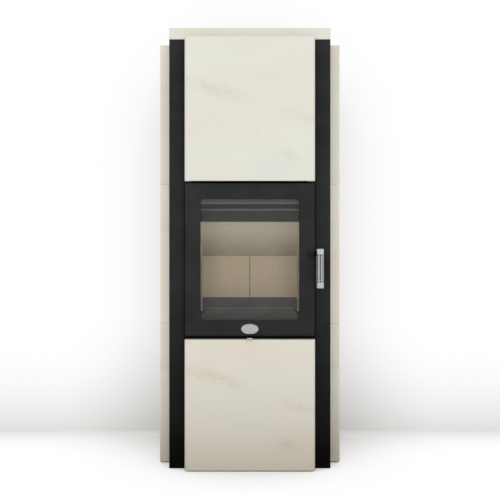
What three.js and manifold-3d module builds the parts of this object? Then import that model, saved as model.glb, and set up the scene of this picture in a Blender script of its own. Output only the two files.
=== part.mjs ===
// A tall tiled wood stove with a glazed fire door.
// Millimetres, +Z up, front towards -Y. The origin is on the floor, at the centre of the footprint.
// Depths are counted back from the front face of the two front tiles.

import * as THREE from 'three';
import { mergeVertices } from 'three/addons/utils/BufferGeometryUtils.js';
import Module from 'manifold-3d';

const wasm = await Module();
wasm.setup();

// ---------------------------------------------------------------- driving dimensions

const WIDTH = 600;
const HEIGHT = 1430;
const SLAB = { thickness: 38, corner: 2, bevel: 1.5 };
const BODY_TOP = HEIGHT - SLAB.thickness;
const BODY_REAR = 486;
const FLUE_END = 530;
const GRIP_PROUD = 14;
const FRONT_Y = -(FLUE_END - GRIP_PROUD) / 2;
const GAP = 0.3;
const SHEET = 2;
const PLATE = 3;
const OVERRUN = 1; // how far a cutter runs past the piece it cuts
const BITE = 0.5; // how far joined pieces run into each other

const POST = { outer: 261.8, width: 50.8, front: 40, depth: 70, wall: 3, corner: 2, boreCorner: 1 };
POST.inner = POST.outer - POST.width;
POST.rear = POST.front + POST.depth;

const SIDE_TILE = { rows: 3, joint: 0.6, floorGap: 3, gap: 1, front: 110.5, edge: 3, bevel: 0.5 };
SIDE_TILE.pitch = BODY_TOP / SIDE_TILE.rows;
SIDE_TILE.inner = POST.outer + SIDE_TILE.gap;

const FRONT_TILE = { half: 209, thickness: 30, edge: 10, bevel: 1.2, floorGap: 3, lowerTop: 421.5 };
FRONT_TILE.aboveJoint = 1.4;
FRONT_TILE.upperBottom = SIDE_TILE.pitch * 2 + FRONT_TILE.aboveJoint;

const DOOR = { half: 209, bottom: 432, top: 924.5, front: 22, rear: 50, skin: 5, flange: 4, bevel: 0.8 };
const WINDOW = { half: 159, bottom: 481, top: 873, corner: 7 };
const GLASS = { half: 170, bottom: 470, top: 884, front: 29.6, thickness: 4, corner: 4, bevel: 0.5 };
const ROPE = { half: 174, bottom: 466, top: 889, corner: 12, diameter: 12, facet: 3.5 };
const HINGE = { x: -200, depth: 32, radius: 4, bearing: 4.6, insideDoor: 20 };
HINGE.lugInner = -191;
HINGE.lugThickness = 2.8;
const LATCH = { x: 195, z: 694.5, radius: 6, bore: 6.4 };
const GRIP = { x: 223.7, depth: -1.9, bottom: 586, top: 712, radius: 12.1, round: 1 };
const GRIP_PARTS = { end: 18, wall: 2, core: 7 };
const PERFORATION = { rows: 12, columns: 8, diameter: 4, sides: 6 };
const BADGE = { width: 56, height: 33.5, z: 454, thickness: 1.8, bevel: 0.6 };

const FRAME = { front: 56, thickness: 4, bottom: 430.5, top: 922.5, half: 209 };
FRAME.rear = FRAME.front + FRAME.thickness + GAP;
const FRAME_OPENING = { half: 163, bottom: 478, top: 877, corner: 8 };

const BOX = { wallInner: 196.3, rear: 361, bottom: 430, floor: 474, top: 884 };
const LINING = { inner: 171, front: 61, rearFace: 336, top: 799.7, thickness: 25, hearth: 500.7 };
LINING.halfJoint = 0.4;
const BAFFLE = { rearZ: 689, frontZ: 807, front: 160, thickness: 25 };
const GRATE = { half: 70, top: 495, play: 0.5 };
const GRATE_SLOT = { count: 7, width: 8, pitch: 16, front: 178, rear: 312 };
const GUARD = { half: 159.6, depth: 148, thickness: 4, bottom: 513, top: 549, leg: 7 };
const AIRWASH = { front: 62, lip: 802.5, recess: 85, tail: 100 };
const BEAD = { bottom: 838, top: 845, proud: 1.5, slant: 2 };

const DUCT = { half: 85, front: 213, rear: 337, top: 1340 };
const FLUE = { z: 1255, inner: 72, outer: 75, flange: 84, hole: 80, sides: 32 };
const INLET = { z: 376, inner: 48, outer: 50, end: 520, hole: 53 };
const AIR_BOX = { half: 110, front: 75, rear: 360, bottom: 330, sill: 421.5, mouth: 62 };
const AIR_SLIDE = { rodHalf: 6, half: 60, front: 85, rear: 185, bottom: 425.5, thickness: 2, travel: 40 };
const AIR_SLOT = { count: 3, pitch: 36, width: 14, front: 80, length: 30 };
const KNOB = { half: 9, bottom: 423.4, top: 428, front: -12, rear: -1.3, round: 1.8, bevel: 1 };

// ---------------------------------------------------------------- finishes

function finish(color, roughness, metalness = 0) {
  return () => new THREE.MeshStandardMaterial({ color, roughness, metalness });
}

const STONE = finish(0xe6e2d8, 0.6);
const BLACK = finish(0x26272a, 0.5, 0.2);
const INNER_BLACK = finish(0x3a3a3a, 0.7, 0.3);
const CAST_IRON = finish(0x34332f, 0.75, 0.5);
const FIREBRICK = finish(0xb8aa90, 0.9);
const STORAGE = finish(0x77736c, 0.9);
const STEEL = finish(0xb9bbbd, 0.3, 1);
const ZINC = finish(0x8e9194, 0.45, 0.9);
const ROPE_GREY = finish(0x4b4a48, 1);

function glassFinish() {
  const look = { color: 0x2c2d2e, roughness: 0.05, transparent: true, opacity: 0.3 };
  return new THREE.MeshStandardMaterial(look);
}

// ---------------------------------------------------------------- geometry helpers

const FRONT_VIEW = new THREE.Matrix4().makeBasis(
  new THREE.Vector3(1, 0, 0),
  new THREE.Vector3(0, 0, 1),
  new THREE.Vector3(0, -1, 0),
);
const SIDE_VIEW = new THREE.Matrix4().makeBasis(
  new THREE.Vector3(0, 1, 0),
  new THREE.Vector3(0, 0, 1),
  new THREE.Vector3(1, 0, 0),
);

// A block from its limits: x, depth and z.
function block(x0, x1, d0, d1, z0, z1) {
  const geometry = new THREE.BoxGeometry(x1 - x0, d1 - d0, z1 - z0);
  return geometry.translate((x0 + x1) / 2, FRONT_Y + (d0 + d1) / 2, (z0 + z1) / 2);
}

function extrusion(shape, length, bevel = 0, bevelSegments = 2) {
  const options = { depth: length - 2 * bevel, bevelEnabled: bevel > 0, curveSegments: 2 };
  Object.assign(options, { bevelSize: bevel, bevelThickness: bevel, bevelOffset: -bevel, bevelSegments });
  return new THREE.ExtrudeGeometry(shape, options).translate(0, 0, bevel);
}

// An outline seen from above, in x and depth, carried up from z0 to z1.
function fromPlan(shape, z0, z1, bevel = 0) {
  return extrusion(shape, z1 - z0, bevel).translate(0, FRONT_Y, z0);
}

// An outline seen from the front, in x and z, carried back from d0 to d1.
function fromFront(shape, d0, d1, bevel = 0) {
  return extrusion(shape, d1 - d0, bevel).applyMatrix4(FRONT_VIEW).translate(0, FRONT_Y + d1, 0);
}

// An outline seen from the side, in depth and z, carried across from x0 to x1.
function fromSide(points, x0, x1) {
  const shape = new THREE.Shape(points.map(([depth, z]) => new THREE.Vector2(depth, z)));
  return extrusion(shape, x1 - x0).applyMatrix4(SIDE_VIEW).translate(x0, FRONT_Y, 0);
}

function roundedRectangle(x0, x1, y0, y1, radius, path = new THREE.Shape()) {
  path.moveTo(x0 + radius, y0);
  path.lineTo(x1 - radius, y0);
  path.absarc(x1 - radius, y0 + radius, radius, -Math.PI / 2, 0);
  path.lineTo(x1, y1 - radius);
  path.absarc(x1 - radius, y1 - radius, radius, 0, Math.PI / 2);
  path.lineTo(x0 + radius, y1);
  path.absarc(x0 + radius, y1 - radius, radius, Math.PI / 2, Math.PI);
  path.lineTo(x0, y0 + radius);
  path.absarc(x0 + radius, y0 + radius, radius, Math.PI, Math.PI * 1.5);
  return path;
}

// A rectangular ring seen from the front; both outlines are {half, bottom, top, corner}.
function ring(outer, inner) {
  const shape = roundedRectangle(-outer.half, outer.half, outer.bottom, outer.top, outer.corner);
  const { half, bottom, top, corner } = inner;
  shape.holes.push(roundedRectangle(-half, half, bottom, top, corner, new THREE.Path()));
  return shape;
}

const SMALLEST_CORNER = 1;

// The same outline, moved out by a distance all round.
function grown(outline, by) {
  const { half, bottom, top } = outline;
  const corner = Math.max(outline.corner + by, SMALLEST_CORNER);
  return { half: half + by, bottom: bottom - by, top: top + by, corner };
}

// The points of an ellipse, in order.
function oval(x, y, radiusX, radiusY, count = 32) {
  return Array.from({ length: count }, (_, i) => {
    const angle = (i * 2 * Math.PI) / count;
    return new THREE.Vector2(x + radiusX * Math.cos(angle), y + radiusY * Math.sin(angle));
  });
}

// A round bar along the depth, centred at x and z.
function barAlongDepth(x, z, radius, d0, d1, sides = 24) {
  const bar = new THREE.CylinderGeometry(radius, radius, d1 - d0, sides);
  return bar.translate(x, FRONT_Y + (d0 + d1) / 2, z);
}

// A round upright bar.
function uprightBar(x, depth, radius, z0, z1, sides = 24) {
  const bar = new THREE.CylinderGeometry(radius, radius, z1 - z0, sides).rotateX(Math.PI / 2);
  return bar.translate(x, FRONT_Y + depth, (z0 + z1) / 2);
}

// A turned ring along the depth, from a closed profile of [radius, depth] points.
function turnedAlongDepth(profile, z, segments) {
  const points = [...profile, profile[0]].map(([radius, depth]) => new THREE.Vector2(radius, depth));
  return new THREE.LatheGeometry(points, segments).translate(0, FRONT_Y, z);
}

const MERGE_DISTANCE = 1e-4;

function solid(geometry) {
  const bare = geometry.clone();
  bare.deleteAttribute('normal');
  bare.deleteAttribute('uv');
  const merged = mergeVertices(bare, MERGE_DISTANCE);
  return new wasm.Manifold(new wasm.Mesh({
    numProp: 3,
    vertProperties: new Float32Array(merged.attributes.position.array),
    triVerts: new Uint32Array(merged.index.array),
  }));
}

function joined(...geometries) {
  return geometries.map(solid).reduce((sum, piece) => sum.add(piece));
}

function cut(body, ...geometries) {
  return geometries.map(solid).reduce((left, piece) => left.subtract(piece), body);
}

function toGeometry(manifold) {
  const mesh = manifold.getMesh();
  const geometry = new THREE.BufferGeometry();
  geometry.setAttribute('position', new THREE.BufferAttribute(mesh.vertProperties, 3));
  geometry.setIndex(new THREE.BufferAttribute(mesh.triVerts, 1));
  geometry.computeVertexNormals();
  return geometry;
}

function mirrored(geometry) {
  const copy = geometry.clone();
  const position = copy.attributes.position;
  for (let i = 0; i < position.count; i += 1) {
    position.setX(i, -position.getX(i));
  }
  const order = copy.index ? copy.index.array : Array.from({ length: position.count }, (_, i) => i);
  const flipped = [];
  for (let i = 0; i < order.length; i += 3) {
    flipped.push(order[i], order[i + 2], order[i + 1]);
  }
  copy.setIndex(flipped);
  copy.computeVertexNormals();
  return copy;
}

const stove = new THREE.Group();

function add(name, shape, material) {
  const geometry = shape.isBufferGeometry ? shape : toGeometry(shape);
  const mesh = new THREE.Mesh(geometry, material());
  mesh.name = name;
  stove.add(mesh);
}

// The same piece on the right, as built, and mirrored on the left.
function addPair(name, shape, material) {
  const geometry = shape.isBufferGeometry ? shape : toGeometry(shape);
  add(`${name}_right`, geometry, material);
  add(`${name}_left`, mirrored(geometry), material);
}

// ---------------------------------------------------------------- base, posts and cladding carriers

const BASE = { tongue: 208, half: 258, front: 40.8, shoulder: 110.5, rear: 484, thickness: 5 };

function makeBase() {
  const outline = new THREE.Shape();
  outline.moveTo(-BASE.tongue, BASE.front);
  outline.lineTo(BASE.tongue, BASE.front);
  outline.lineTo(BASE.tongue, BASE.shoulder);
  outline.lineTo(BASE.half, BASE.shoulder);
  outline.lineTo(BASE.half, BASE.rear);
  outline.lineTo(-BASE.half, BASE.rear);
  outline.lineTo(-BASE.half, BASE.shoulder);
  outline.lineTo(-BASE.tongue, BASE.shoulder);
  add('base_plate', fromPlan(outline, 0, BASE.thickness), BLACK);
}

function makePosts() {
  const { inner, outer, front, rear, wall, corner, boreCorner } = POST;
  const section = roundedRectangle(inner, outer, front, rear, corner);
  const limits = [inner + wall, outer - wall, front + wall, rear - wall];
  section.holes.push(roundedRectangle(...limits, boreCorner, new THREE.Path()));
  addPair('post', fromPlan(section, 0, BODY_TOP), BLACK);
}

const LEDGE = { below: 2.5, reach: 286, front: 130, sheetInner: 258.3 };

// Each side sheet has a turned-out ledge in a rebate under every tile, hidden from the front.
function makeSidePanels() {
  const { sheetInner, reach, below, front } = LEDGE;
  const sheetOuter = sheetInner + SHEET;
  const ends = [below - SHEET, BODY_TOP - GAP];
  const sheet = block(sheetInner, sheetOuter, SIDE_TILE.front, BASE.rear, ...ends);
  const ledges = Array.from({ length: SIDE_TILE.rows }, (_, row) => {
    const top = row * SIDE_TILE.pitch + below;
    return block(sheetOuter - BITE, reach, front, BASE.rear, top - SHEET, top);
  });
  addPair('side_panel', joined(sheet, ...ledges), BLACK);
}

const VENT = { width: 60, height: 8, columns: 5, pitch: 84, rows: [60, 82, 104, 1354, 1372] };

function makeRearPanel() {
  const half = LEDGE.sheetInner + SHEET;
  const outline = roundedRectangle(-half, half, LEDGE.below - SHEET, BODY_TOP - GAP, SMALLEST_CORNER);
  for (const pipe of [FLUE, INLET]) {
    outline.holes.push(new THREE.Path(oval(0, pipe.z, pipe.hole, pipe.hole)));
  }
  for (const z of VENT.rows) {
    for (let column = 0; column < VENT.columns; column += 1) {
      const x = (column - (VENT.columns - 1) / 2) * VENT.pitch;
      const ends = [x - VENT.width / 2, x + VENT.width / 2, z - VENT.height / 2, z + VENT.height / 2];
      outline.holes.push(roundedRectangle(...ends, VENT.height / 3, new THREE.Path()));
    }
  }
  add('rear_panel', fromFront(outline, BASE.rear + GAP, BODY_REAR), BLACK);
}

const CARRIER = { front: 38.3, ledgeFront: 6, ledgeHalf: 186, half: POST.inner - GAP, tileGap: 0.5 };
CARRIER.hingeSide = -189.5;
CARRIER.rodNotch = AIR_SLIDE.rodHalf + GAP;
CARRIER.closerTop = 431;

// A sheet behind a front tile, with a narrower ledge turned forward under it, clear of the door hinges.
function carrier(ledgeTop, top) {
  const { front, ledgeFront, ledgeHalf, half } = CARRIER;
  const sheet = block(-half, half, front, front + SHEET, ledgeTop + SHEET, top);
  const fold = block(-ledgeHalf, ledgeHalf, front, front + SHEET, ledgeTop - SHEET, ledgeTop + 2 * SHEET);
  const ledge = block(-ledgeHalf, ledgeHalf, ledgeFront, front + SHEET, ledgeTop - SHEET, ledgeTop);
  return joined(sheet, fold, ledge);
}

// The lower carrier also closes the gap under the door, with a notch for the air control's rod.
function makeCarriers() {
  const { front, half, tileGap, hingeSide, rodNotch, closerTop } = CARRIER;
  const sheetTop = FRONT_TILE.lowerTop;
  const rear = front + SHEET;
  const closer = block(hingeSide, half, front, rear, sheetTop - BITE, closerTop);
  const notchEnds = [AIR_SLIDE.bottom - OVERRUN, closerTop + OVERRUN];
  const notch = block(-rodNotch, rodNotch, front - OVERRUN, rear + OVERRUN, ...notchEnds);
  const lower = carrier(LEDGE.below, sheetTop).add(solid(closer));
  add('lower_tile_carrier', cut(lower, notch), BLACK);
  add('upper_tile_carrier', carrier(FRONT_TILE.upperBottom - tileGap, BODY_TOP - GAP), BLACK);
}

// ---------------------------------------------------------------- stone

function makeSlab() {
  const outline = roundedRectangle(-POST.outer, POST.outer, POST.front, BODY_REAR, SLAB.corner);
  add('top_slab', fromPlan(outline, BODY_TOP, HEIGHT, SLAB.bevel), STONE);
}

function makeSideTiles() {
  const names = ['lower', 'middle', 'upper'];
  const { inner, front, edge, bevel, pitch, joint, floorGap } = SIDE_TILE;
  const outer = WIDTH / 2;
  const outline = new THREE.Shape();
  outline.moveTo(inner, front);
  outline.lineTo(outer - edge, front);
  outline.absarc(outer - edge, front + edge, edge, -Math.PI / 2, 0);
  outline.lineTo(outer, BODY_REAR - edge);
  outline.absarc(outer - edge, BODY_REAR - edge, edge, 0, Math.PI / 2);
  outline.lineTo(inner, BODY_REAR);
  const rebate = [inner - OVERRUN, LEDGE.reach + OVERRUN, LEDGE.front - OVERRUN, BODY_REAR + OVERRUN];
  names.forEach((name, row) => {
    const ledgeTop = row * pitch + LEDGE.below;
    const bottom = row * pitch + (row === 0 ? floorGap : joint);
    const slab = solid(fromPlan(outline, bottom, (row + 1) * pitch, bevel));
    const tile = cut(slab, block(...rebate, bottom - OVERRUN, ledgeTop + BITE));
    addPair(`side_tile_${name}`, tile, STONE);
  });
}

function makeFrontTile(name, bottom, top) {
  const { half, thickness, edge, bevel } = FRONT_TILE;
  const outline = new THREE.Shape();
  outline.moveTo(half, thickness);
  outline.lineTo(-half, thickness);
  outline.lineTo(-half, edge);
  outline.absarc(-half + edge, edge, edge, Math.PI, Math.PI * 1.5);
  outline.lineTo(half - edge, 0);
  outline.absarc(half - edge, edge, edge, -Math.PI / 2, 0);
  add(name, fromPlan(outline, bottom, top, bevel), STONE);
}

// ---------------------------------------------------------------- firebox shell

const LUG = { flangeFront: 53, flangeInside: 32, forward: 8, lower: 425.5, upper: 924.9 };

function hingeLug(plateBottom, flangeBottom, flangeTop) {
  const x0 = -FRAME.half;
  const front = HINGE.depth - LUG.forward;
  const rear = FRAME.front + BITE;
  const plate = block(x0, HINGE.lugInner, front, rear, plateBottom, plateBottom + HINGE.lugThickness);
  const flange = block(x0, HINGE.lugInner, LUG.flangeFront, rear, flangeBottom, flangeTop);
  return [plate, flange];
}

function makeFaceFrame() {
  const outer = { half: FRAME.half, bottom: FRAME.bottom, top: FRAME.top, corner: SMALLEST_CORNER };
  const face = fromFront(ring(outer, FRAME_OPENING), FRAME.front, FRAME.front + FRAME.thickness);
  const upperTop = LUG.upper + HINGE.lugThickness;
  const lower = hingeLug(LUG.lower, LUG.lower, LUG.lower + LUG.flangeInside);
  const upper = hingeLug(LUG.upper, upperTop - LUG.flangeInside, upperTop);
  const ends = [LUG.lower - OVERRUN, upperTop + OVERRUN];
  const bearing = uprightBar(HINGE.x, HINGE.depth, HINGE.bearing, ...ends);
  add('face_frame', cut(joined(face, ...lower, ...upper), bearing), INNER_BLACK);
}

function slotX(index, count, pitch) {
  return (index - (count - 1) / 2) * pitch;
}

function airSlots(z0, z1, shift) {
  return Array.from({ length: AIR_SLOT.count }, (_, i) => {
    const x = slotX(i, AIR_SLOT.count, AIR_SLOT.pitch);
    const front = AIR_SLOT.front + shift;
    return block(x - AIR_SLOT.width / 2, x + AIR_SLOT.width / 2, front, front + AIR_SLOT.length, z0, z1);
  });
}

const RAIL = { inner: 62, outer: 66, lip: 54, lipBottom: 422.2, lipTop: 425.2, front: 79, rear: 200 };

// The bottom of the firebox shell, with two L rails under it in which the air slide runs.
function makeFireboxBottom() {
  const half = BOX.wallInner + PLATE;
  const plate = block(-half, half, FRAME.rear, BOX.rear + PLATE + GAP, BOX.bottom, BOX.bottom + PLATE);
  const web = block(RAIL.inner, RAIL.outer, RAIL.front, RAIL.rear, RAIL.lipBottom, BOX.bottom + BITE);
  const lip = block(RAIL.lip, RAIL.outer, RAIL.front, RAIL.rear, RAIL.lipBottom, RAIL.lipTop);
  const body = joined(plate, web, lip, mirrored(web), mirrored(lip));
  const slots = airSlots(BOX.bottom - OVERRUN, BOX.bottom + PLATE + OVERRUN, 0);
  add('firebox_bottom', cut(body, ...slots), INNER_BLACK);
}

const ASH_HOLE = { half: 55, front: 175, rear: 315 };

function makeFireboxShell() {
  const { wallInner, rear, bottom, floor, top } = BOX;
  const wallBottom = bottom + PLATE + GAP;
  const wallOuter = wallInner + PLATE;
  const rearFace = rear + GAP;
  const inside = wallInner - GAP;
  addPair('firebox_wall', block(wallInner, wallOuter, FRAME.rear, rear, wallBottom, top), INNER_BLACK);
  const rearWall = block(-wallOuter, wallOuter, rearFace, rearFace + PLATE, wallBottom, top);
  add('firebox_rear_wall', rearWall, INNER_BLACK);
  const floorPlate = block(-inside, inside, FRAME.rear, rear, floor, floor + PLATE);
  const { half, front: holeFront, rear: holeRear } = ASH_HOLE;
  const ashHole = block(-half, half, holeFront, holeRear, floor - OVERRUN, floor + PLATE + OVERRUN);
  add('firebox_floor', cut(solid(floorPlate), ashHole), INNER_BLACK);
  const lidBottom = top + GAP;
  const lidTop = lidBottom + FRAME.thickness;
  const lid = block(-wallOuter, wallOuter, FRAME.rear, rearFace + PLATE, lidBottom, lidTop);
  const inner = DUCT.half - SHEET;
  const holeEnds = [lidBottom - OVERRUN, lidTop + OVERRUN];
  const smokeHole = block(-inner, inner, DUCT.front + SHEET, DUCT.rear - SHEET, ...holeEnds);
  add('firebox_top', cut(solid(lid), smokeHole), INNER_BLACK);
}

const SUPPORT = { inner: 185, front: 70, rear: 360 };

function makeSupports() {
  const { inner, front, rear } = SUPPORT;
  const top = BOX.bottom - GAP;
  addPair('support_plate', block(inner, inner + PLATE, front, rear, BASE.thickness + GAP, top), BLACK);
}

// ---------------------------------------------------------------- lining, baffle and grate

const SLOPE = (BAFFLE.frontZ - BAFFLE.rearZ) / (LINING.rearFace - BAFFLE.front);

function baffleUnderside(depth) {
  return BAFFLE.rearZ + (LINING.rearFace - depth) * SLOPE;
}

function makeLining() {
  const { inner, rearFace, top, thickness, front, halfJoint } = LINING;
  const bottom = BOX.floor + PLATE + GAP;
  const rear = rearFace - GAP;
  const outer = inner + thickness;
  const shoulder = rearFace - (top + GAP - BAFFLE.rearZ) / SLOPE;
  const side = [
    [front, bottom], [rear, bottom], [rear, baffleUnderside(rear) - GAP], [shoulder, top], [front, top],
  ];
  addPair('side_brick', fromSide(side, inner, outer), FIREBRICK);
  const back = rearFace + thickness - GAP;
  const rearTop = baffleUnderside(rearFace) - GAP;
  const brick = [
    [rearFace, bottom], [back, bottom], [back, baffleUnderside(back) - GAP], [rearFace, rearTop],
  ];
  addPair('rear_brick', fromSide(brick, halfJoint, outer - GAP), FIREBRICK);
}

function makeBaffle() {
  const rear = LINING.rearFace + LINING.thickness - GAP;
  const rise = BAFFLE.thickness * Math.sqrt(1 + SLOPE * SLOPE);
  const rearZ = baffleUnderside(rear);
  const { front, frontZ } = BAFFLE;
  const section = [[front, frontZ], [rear, rearZ], [rear, rearZ + rise], [front, frontZ + rise]];
  const half = LINING.inner + LINING.thickness - GAP;
  add('baffle_plate', fromSide(section, -half, half), FIREBRICK);
}

const RAMP = { frontTop: 482, shoulder: 125, shoulderTop: 502.6, rear: 147.7 };
RAMP.lipHalf = 152;
RAMP.lipTop = 512.4;

// The ramp rises to the foot of the log guard; its upper part is narrower.
function makeRamp(bottom, side) {
  const { frontTop, shoulder, shoulderTop, lipHalf, lipTop, rear } = RAMP;
  const { front } = LINING;
  const wide = [
    [front, bottom], [rear, bottom], [rear, shoulderTop], [shoulder, shoulderTop], [front, frontTop],
  ];
  const lipFoot = shoulderTop - BITE;
  const lip = [[shoulder, lipFoot], [rear, lipFoot], [rear, lipTop], [shoulder, shoulderTop]];
  const ramp = joined(fromSide(wide, -side, side), fromSide(lip, -lipHalf, lipHalf));
  add('front_ramp', ramp, CAST_IRON);
}

function makeHearth() {
  const bottom = BOX.floor + PLATE + GAP;
  const side = LINING.inner - GAP;
  const { hearth } = LINING;
  makeRamp(bottom, side);
  const bed = RAMP.rear + GAP;
  const rear = LINING.rearFace - GAP;
  addPair('floor_brick', block(GRATE.half + GRATE.play, side, bed, rear, bottom, hearth), FIREBRICK);
  const slot = GRATE_SLOT;
  const slots = Array.from({ length: slot.count }, (_, i) => {
    const x = slotX(i, slot.count, slot.pitch);
    const edges = [x - slot.width / 2, x + slot.width / 2];
    return block(...edges, slot.front, slot.rear, bottom - OVERRUN, GRATE.top + OVERRUN);
  });
  const bars = block(-GRATE.half, GRATE.half, bed, rear, bottom, GRATE.top);
  add('grate', cut(solid(bars), ...slots), CAST_IRON);
}

// A strip across the front of the fire, standing on a short leg at each end.
function makeLogGuard() {
  const { half, depth, thickness, bottom, top, leg } = GUARD;
  const foot = LINING.hearth + GAP;
  const outline = new THREE.Shape();
  const corners = [
    [-half, foot], [leg - half, foot], [leg - half, bottom], [half - leg, bottom],
    [half - leg, foot], [half, foot], [half, top], [-half, top],
  ];
  outline.setFromPoints(corners.map(([x, z]) => new THREE.Vector2(x, z)));
  add('log_guard', fromFront(outline, depth, depth + thickness), CAST_IRON);
}

const ASH_PAN = { half: 90, front: 160, rear: 330, top: 470, wall: 1.5 };

function makeAshPan() {
  const { half, front, rear, top, wall } = ASH_PAN;
  const bottom = BOX.bottom + PLATE + GAP;
  const outer = block(-half, half, front, rear, bottom, top);
  const inner = block(wall - half, half - wall, front + wall, rear - wall, bottom + wall, top + OVERRUN);
  add('ash_pan', cut(solid(outer), inner), ZINC);
}

// Folded sheet over the fire opening; air leaves it downwards behind the glass.
function makeAirwash() {
  const { front, lip, recess, tail } = AIRWASH;
  const { bottom, proud, slant } = BEAD;
  const top = BOX.top - GAP;
  const section = [
    [front, lip], [tail, lip], [tail, lip + PLATE], [front + PLATE, lip + PLATE],
    [front + PLATE, BEAD.top - PLATE], [recess + PLATE, BEAD.top - PLATE], [recess + PLATE, top],
    [recess, top], [recess, BEAD.top], [front, BEAD.top],
    [front - proud, BEAD.top - slant], [front - proud, bottom + slant], [front, bottom],
  ];
  const half = BOX.wallInner - 2 * GAP;
  add('airwash_duct', fromSide(section, -half, half), INNER_BLACK);
}

// ---------------------------------------------------------------- smoke way and heat storage

function makeSmokeWay() {
  const { half, front, rear, top } = DUCT;
  const bottom = BOX.top + GAP + FRAME.thickness + GAP;
  const outer = block(-half, half, front, rear, bottom, top);
  const hollow = [bottom - OVERRUN, top - SHEET];
  const inner = block(SHEET - half, half - SHEET, front + SHEET, rear - SHEET, ...hollow);
  const port = barAlongDepth(0, FLUE.z, FLUE.inner, rear - 2 * SHEET, rear + OVERRUN, FLUE.sides);
  add('flue_duct', cut(solid(outer), inner, port), ZINC);
  const start = rear + GAP;
  const profile = [
    [FLUE.inner, start], [FLUE.flange, start], [FLUE.flange, start + PLATE],
    [FLUE.outer, start + PLATE], [FLUE.outer, FLUE_END], [FLUE.inner, FLUE_END],
  ];
  add('flue_collar', turnedAlongDepth(profile, FLUE.z, FLUE.sides), BLACK);
}

const STORE = { inner: 90, outer: 195, front: 100, rear: 362, top: 1180, corner: 3 };

function makeHeatBlocks() {
  const bottom = BOX.top + GAP + FRAME.thickness + GAP;
  const { inner, outer, front, rear, top, corner } = STORE;
  const outline = roundedRectangle(inner, outer, front, rear, corner);
  addPair('heat_block', fromPlan(outline, bottom, top), STORAGE);
}

// ---------------------------------------------------------------- combustion air

// Open at the top; the slide comes forward through a low mouth in its front wall.
function makeAirBox() {
  const { half, front, rear, bottom, sill, mouth } = AIR_BOX;
  const top = BOX.bottom - GAP;
  const overTop = top + OVERRUN;
  const outer = block(-half, half, front, rear, bottom, top);
  const pipe = barAlongDepth(0, INLET.z, INLET.outer, rear - BITE, INLET.end);
  const inner = block(SHEET - half, half - SHEET, front + SHEET, rear - SHEET, bottom + SHEET, overTop);
  const slideMouth = block(-mouth, mouth, front - OVERRUN, front + SHEET + OVERRUN, sill, overTop);
  const bore = barAlongDepth(0, INLET.z, INLET.inner, rear - 2 * SHEET, INLET.end + OVERRUN);
  add('air_box', cut(joined(outer, pipe), inner, slideMouth, bore), ZINC);
}

function makeAirControl() {
  const { rodHalf, half, front, rear, bottom, thickness, travel } = AIR_SLIDE;
  const top = bottom + thickness;
  const rod = block(-rodHalf, rodHalf, KNOB.rear + GAP, front + BITE, bottom, top);
  const plate = block(-half, half, front, rear, bottom, top);
  const slots = airSlots(bottom - OVERRUN, top + OVERRUN, travel);
  add('air_slide', cut(joined(rod, plate), ...slots), INNER_BLACK);
  const outline = roundedRectangle(-KNOB.half, KNOB.half, KNOB.bottom, KNOB.top, KNOB.round);
  add('air_knob', fromFront(outline, KNOB.front, KNOB.rear, KNOB.bevel), STEEL);
}

// ---------------------------------------------------------------- door

const DOOR_OUTSIDE = { half: DOOR.half, bottom: DOOR.bottom, top: DOOR.top, corner: 2 };
const DOOR_INSIDE = grown(DOOR_OUTSIDE, -DOOR.flange);

// A front skin round the window, with a rim turned back all round it.
function makeDoorFrame() {
  const skinRear = DOOR.front + DOOR.skin;
  const skin = fromFront(ring(DOOR_OUTSIDE, WINDOW), DOOR.front, skinRear, DOOR.bevel);
  const rimFront = (DOOR.front + skinRear) / 2;
  const rim = fromFront(ring(DOOR_OUTSIDE, DOOR_INSIDE), rimFront, DOOR.rear);
  const shaft = [DOOR.front - OVERRUN, skinRear + OVERRUN];
  const shaftHole = barAlongDepth(LATCH.x, LATCH.z, LATCH.bore, ...shaft);
  const pin = [DOOR.bottom - OVERRUN, DOOR.top + OVERRUN];
  const pinHole = uprightBar(HINGE.x, HINGE.depth, HINGE.radius + GAP, ...pin);
  add('door_frame', cut(joined(skin, rim), shaftHole, pinHole), BLACK);
}

function makeHingePins() {
  const { x, depth, radius, insideDoor } = HINGE;
  const lugTop = LUG.upper + HINGE.lugThickness;
  add('hinge_pin_upper', uprightBar(x, depth, radius, DOOR.top - insideDoor, lugTop), STEEL);
  add('hinge_pin_lower', uprightBar(x, depth, radius, LUG.lower, DOOR.bottom + insideDoor), STEEL);
}

const SEAL = { front: 27.3, thickness: 2, inside: 2, width: 11 };

function makeGlazing() {
  const inner = grown(WINDOW, SEAL.inside);
  const outer = grown(inner, SEAL.width);
  add('glass_seal', fromFront(ring(outer, inner), SEAL.front, SEAL.front + SEAL.thickness), ROPE_GREY);
  const { half, bottom, top, corner, front, thickness, bevel } = GLASS;
  const pane = roundedRectangle(-half, half, bottom, top, corner);
  add('door_glass', fromFront(pane, front, front + thickness, bevel), glassFinish);
}

const LINER = { front: 41.4, ribFront: 33.9, rib: 1.5, pressRib: 3, ropeClear: 0.8 };
const LINER_OPENING = { half: 162, bottom: 479, top: 858, corner: 6 };
const LINER_PRESS = { half: 163, bottom: 478, top: 877, corner: 6 };
const ROPE_FRONT = FRAME.front - GAP - ROPE.diameter;

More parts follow.
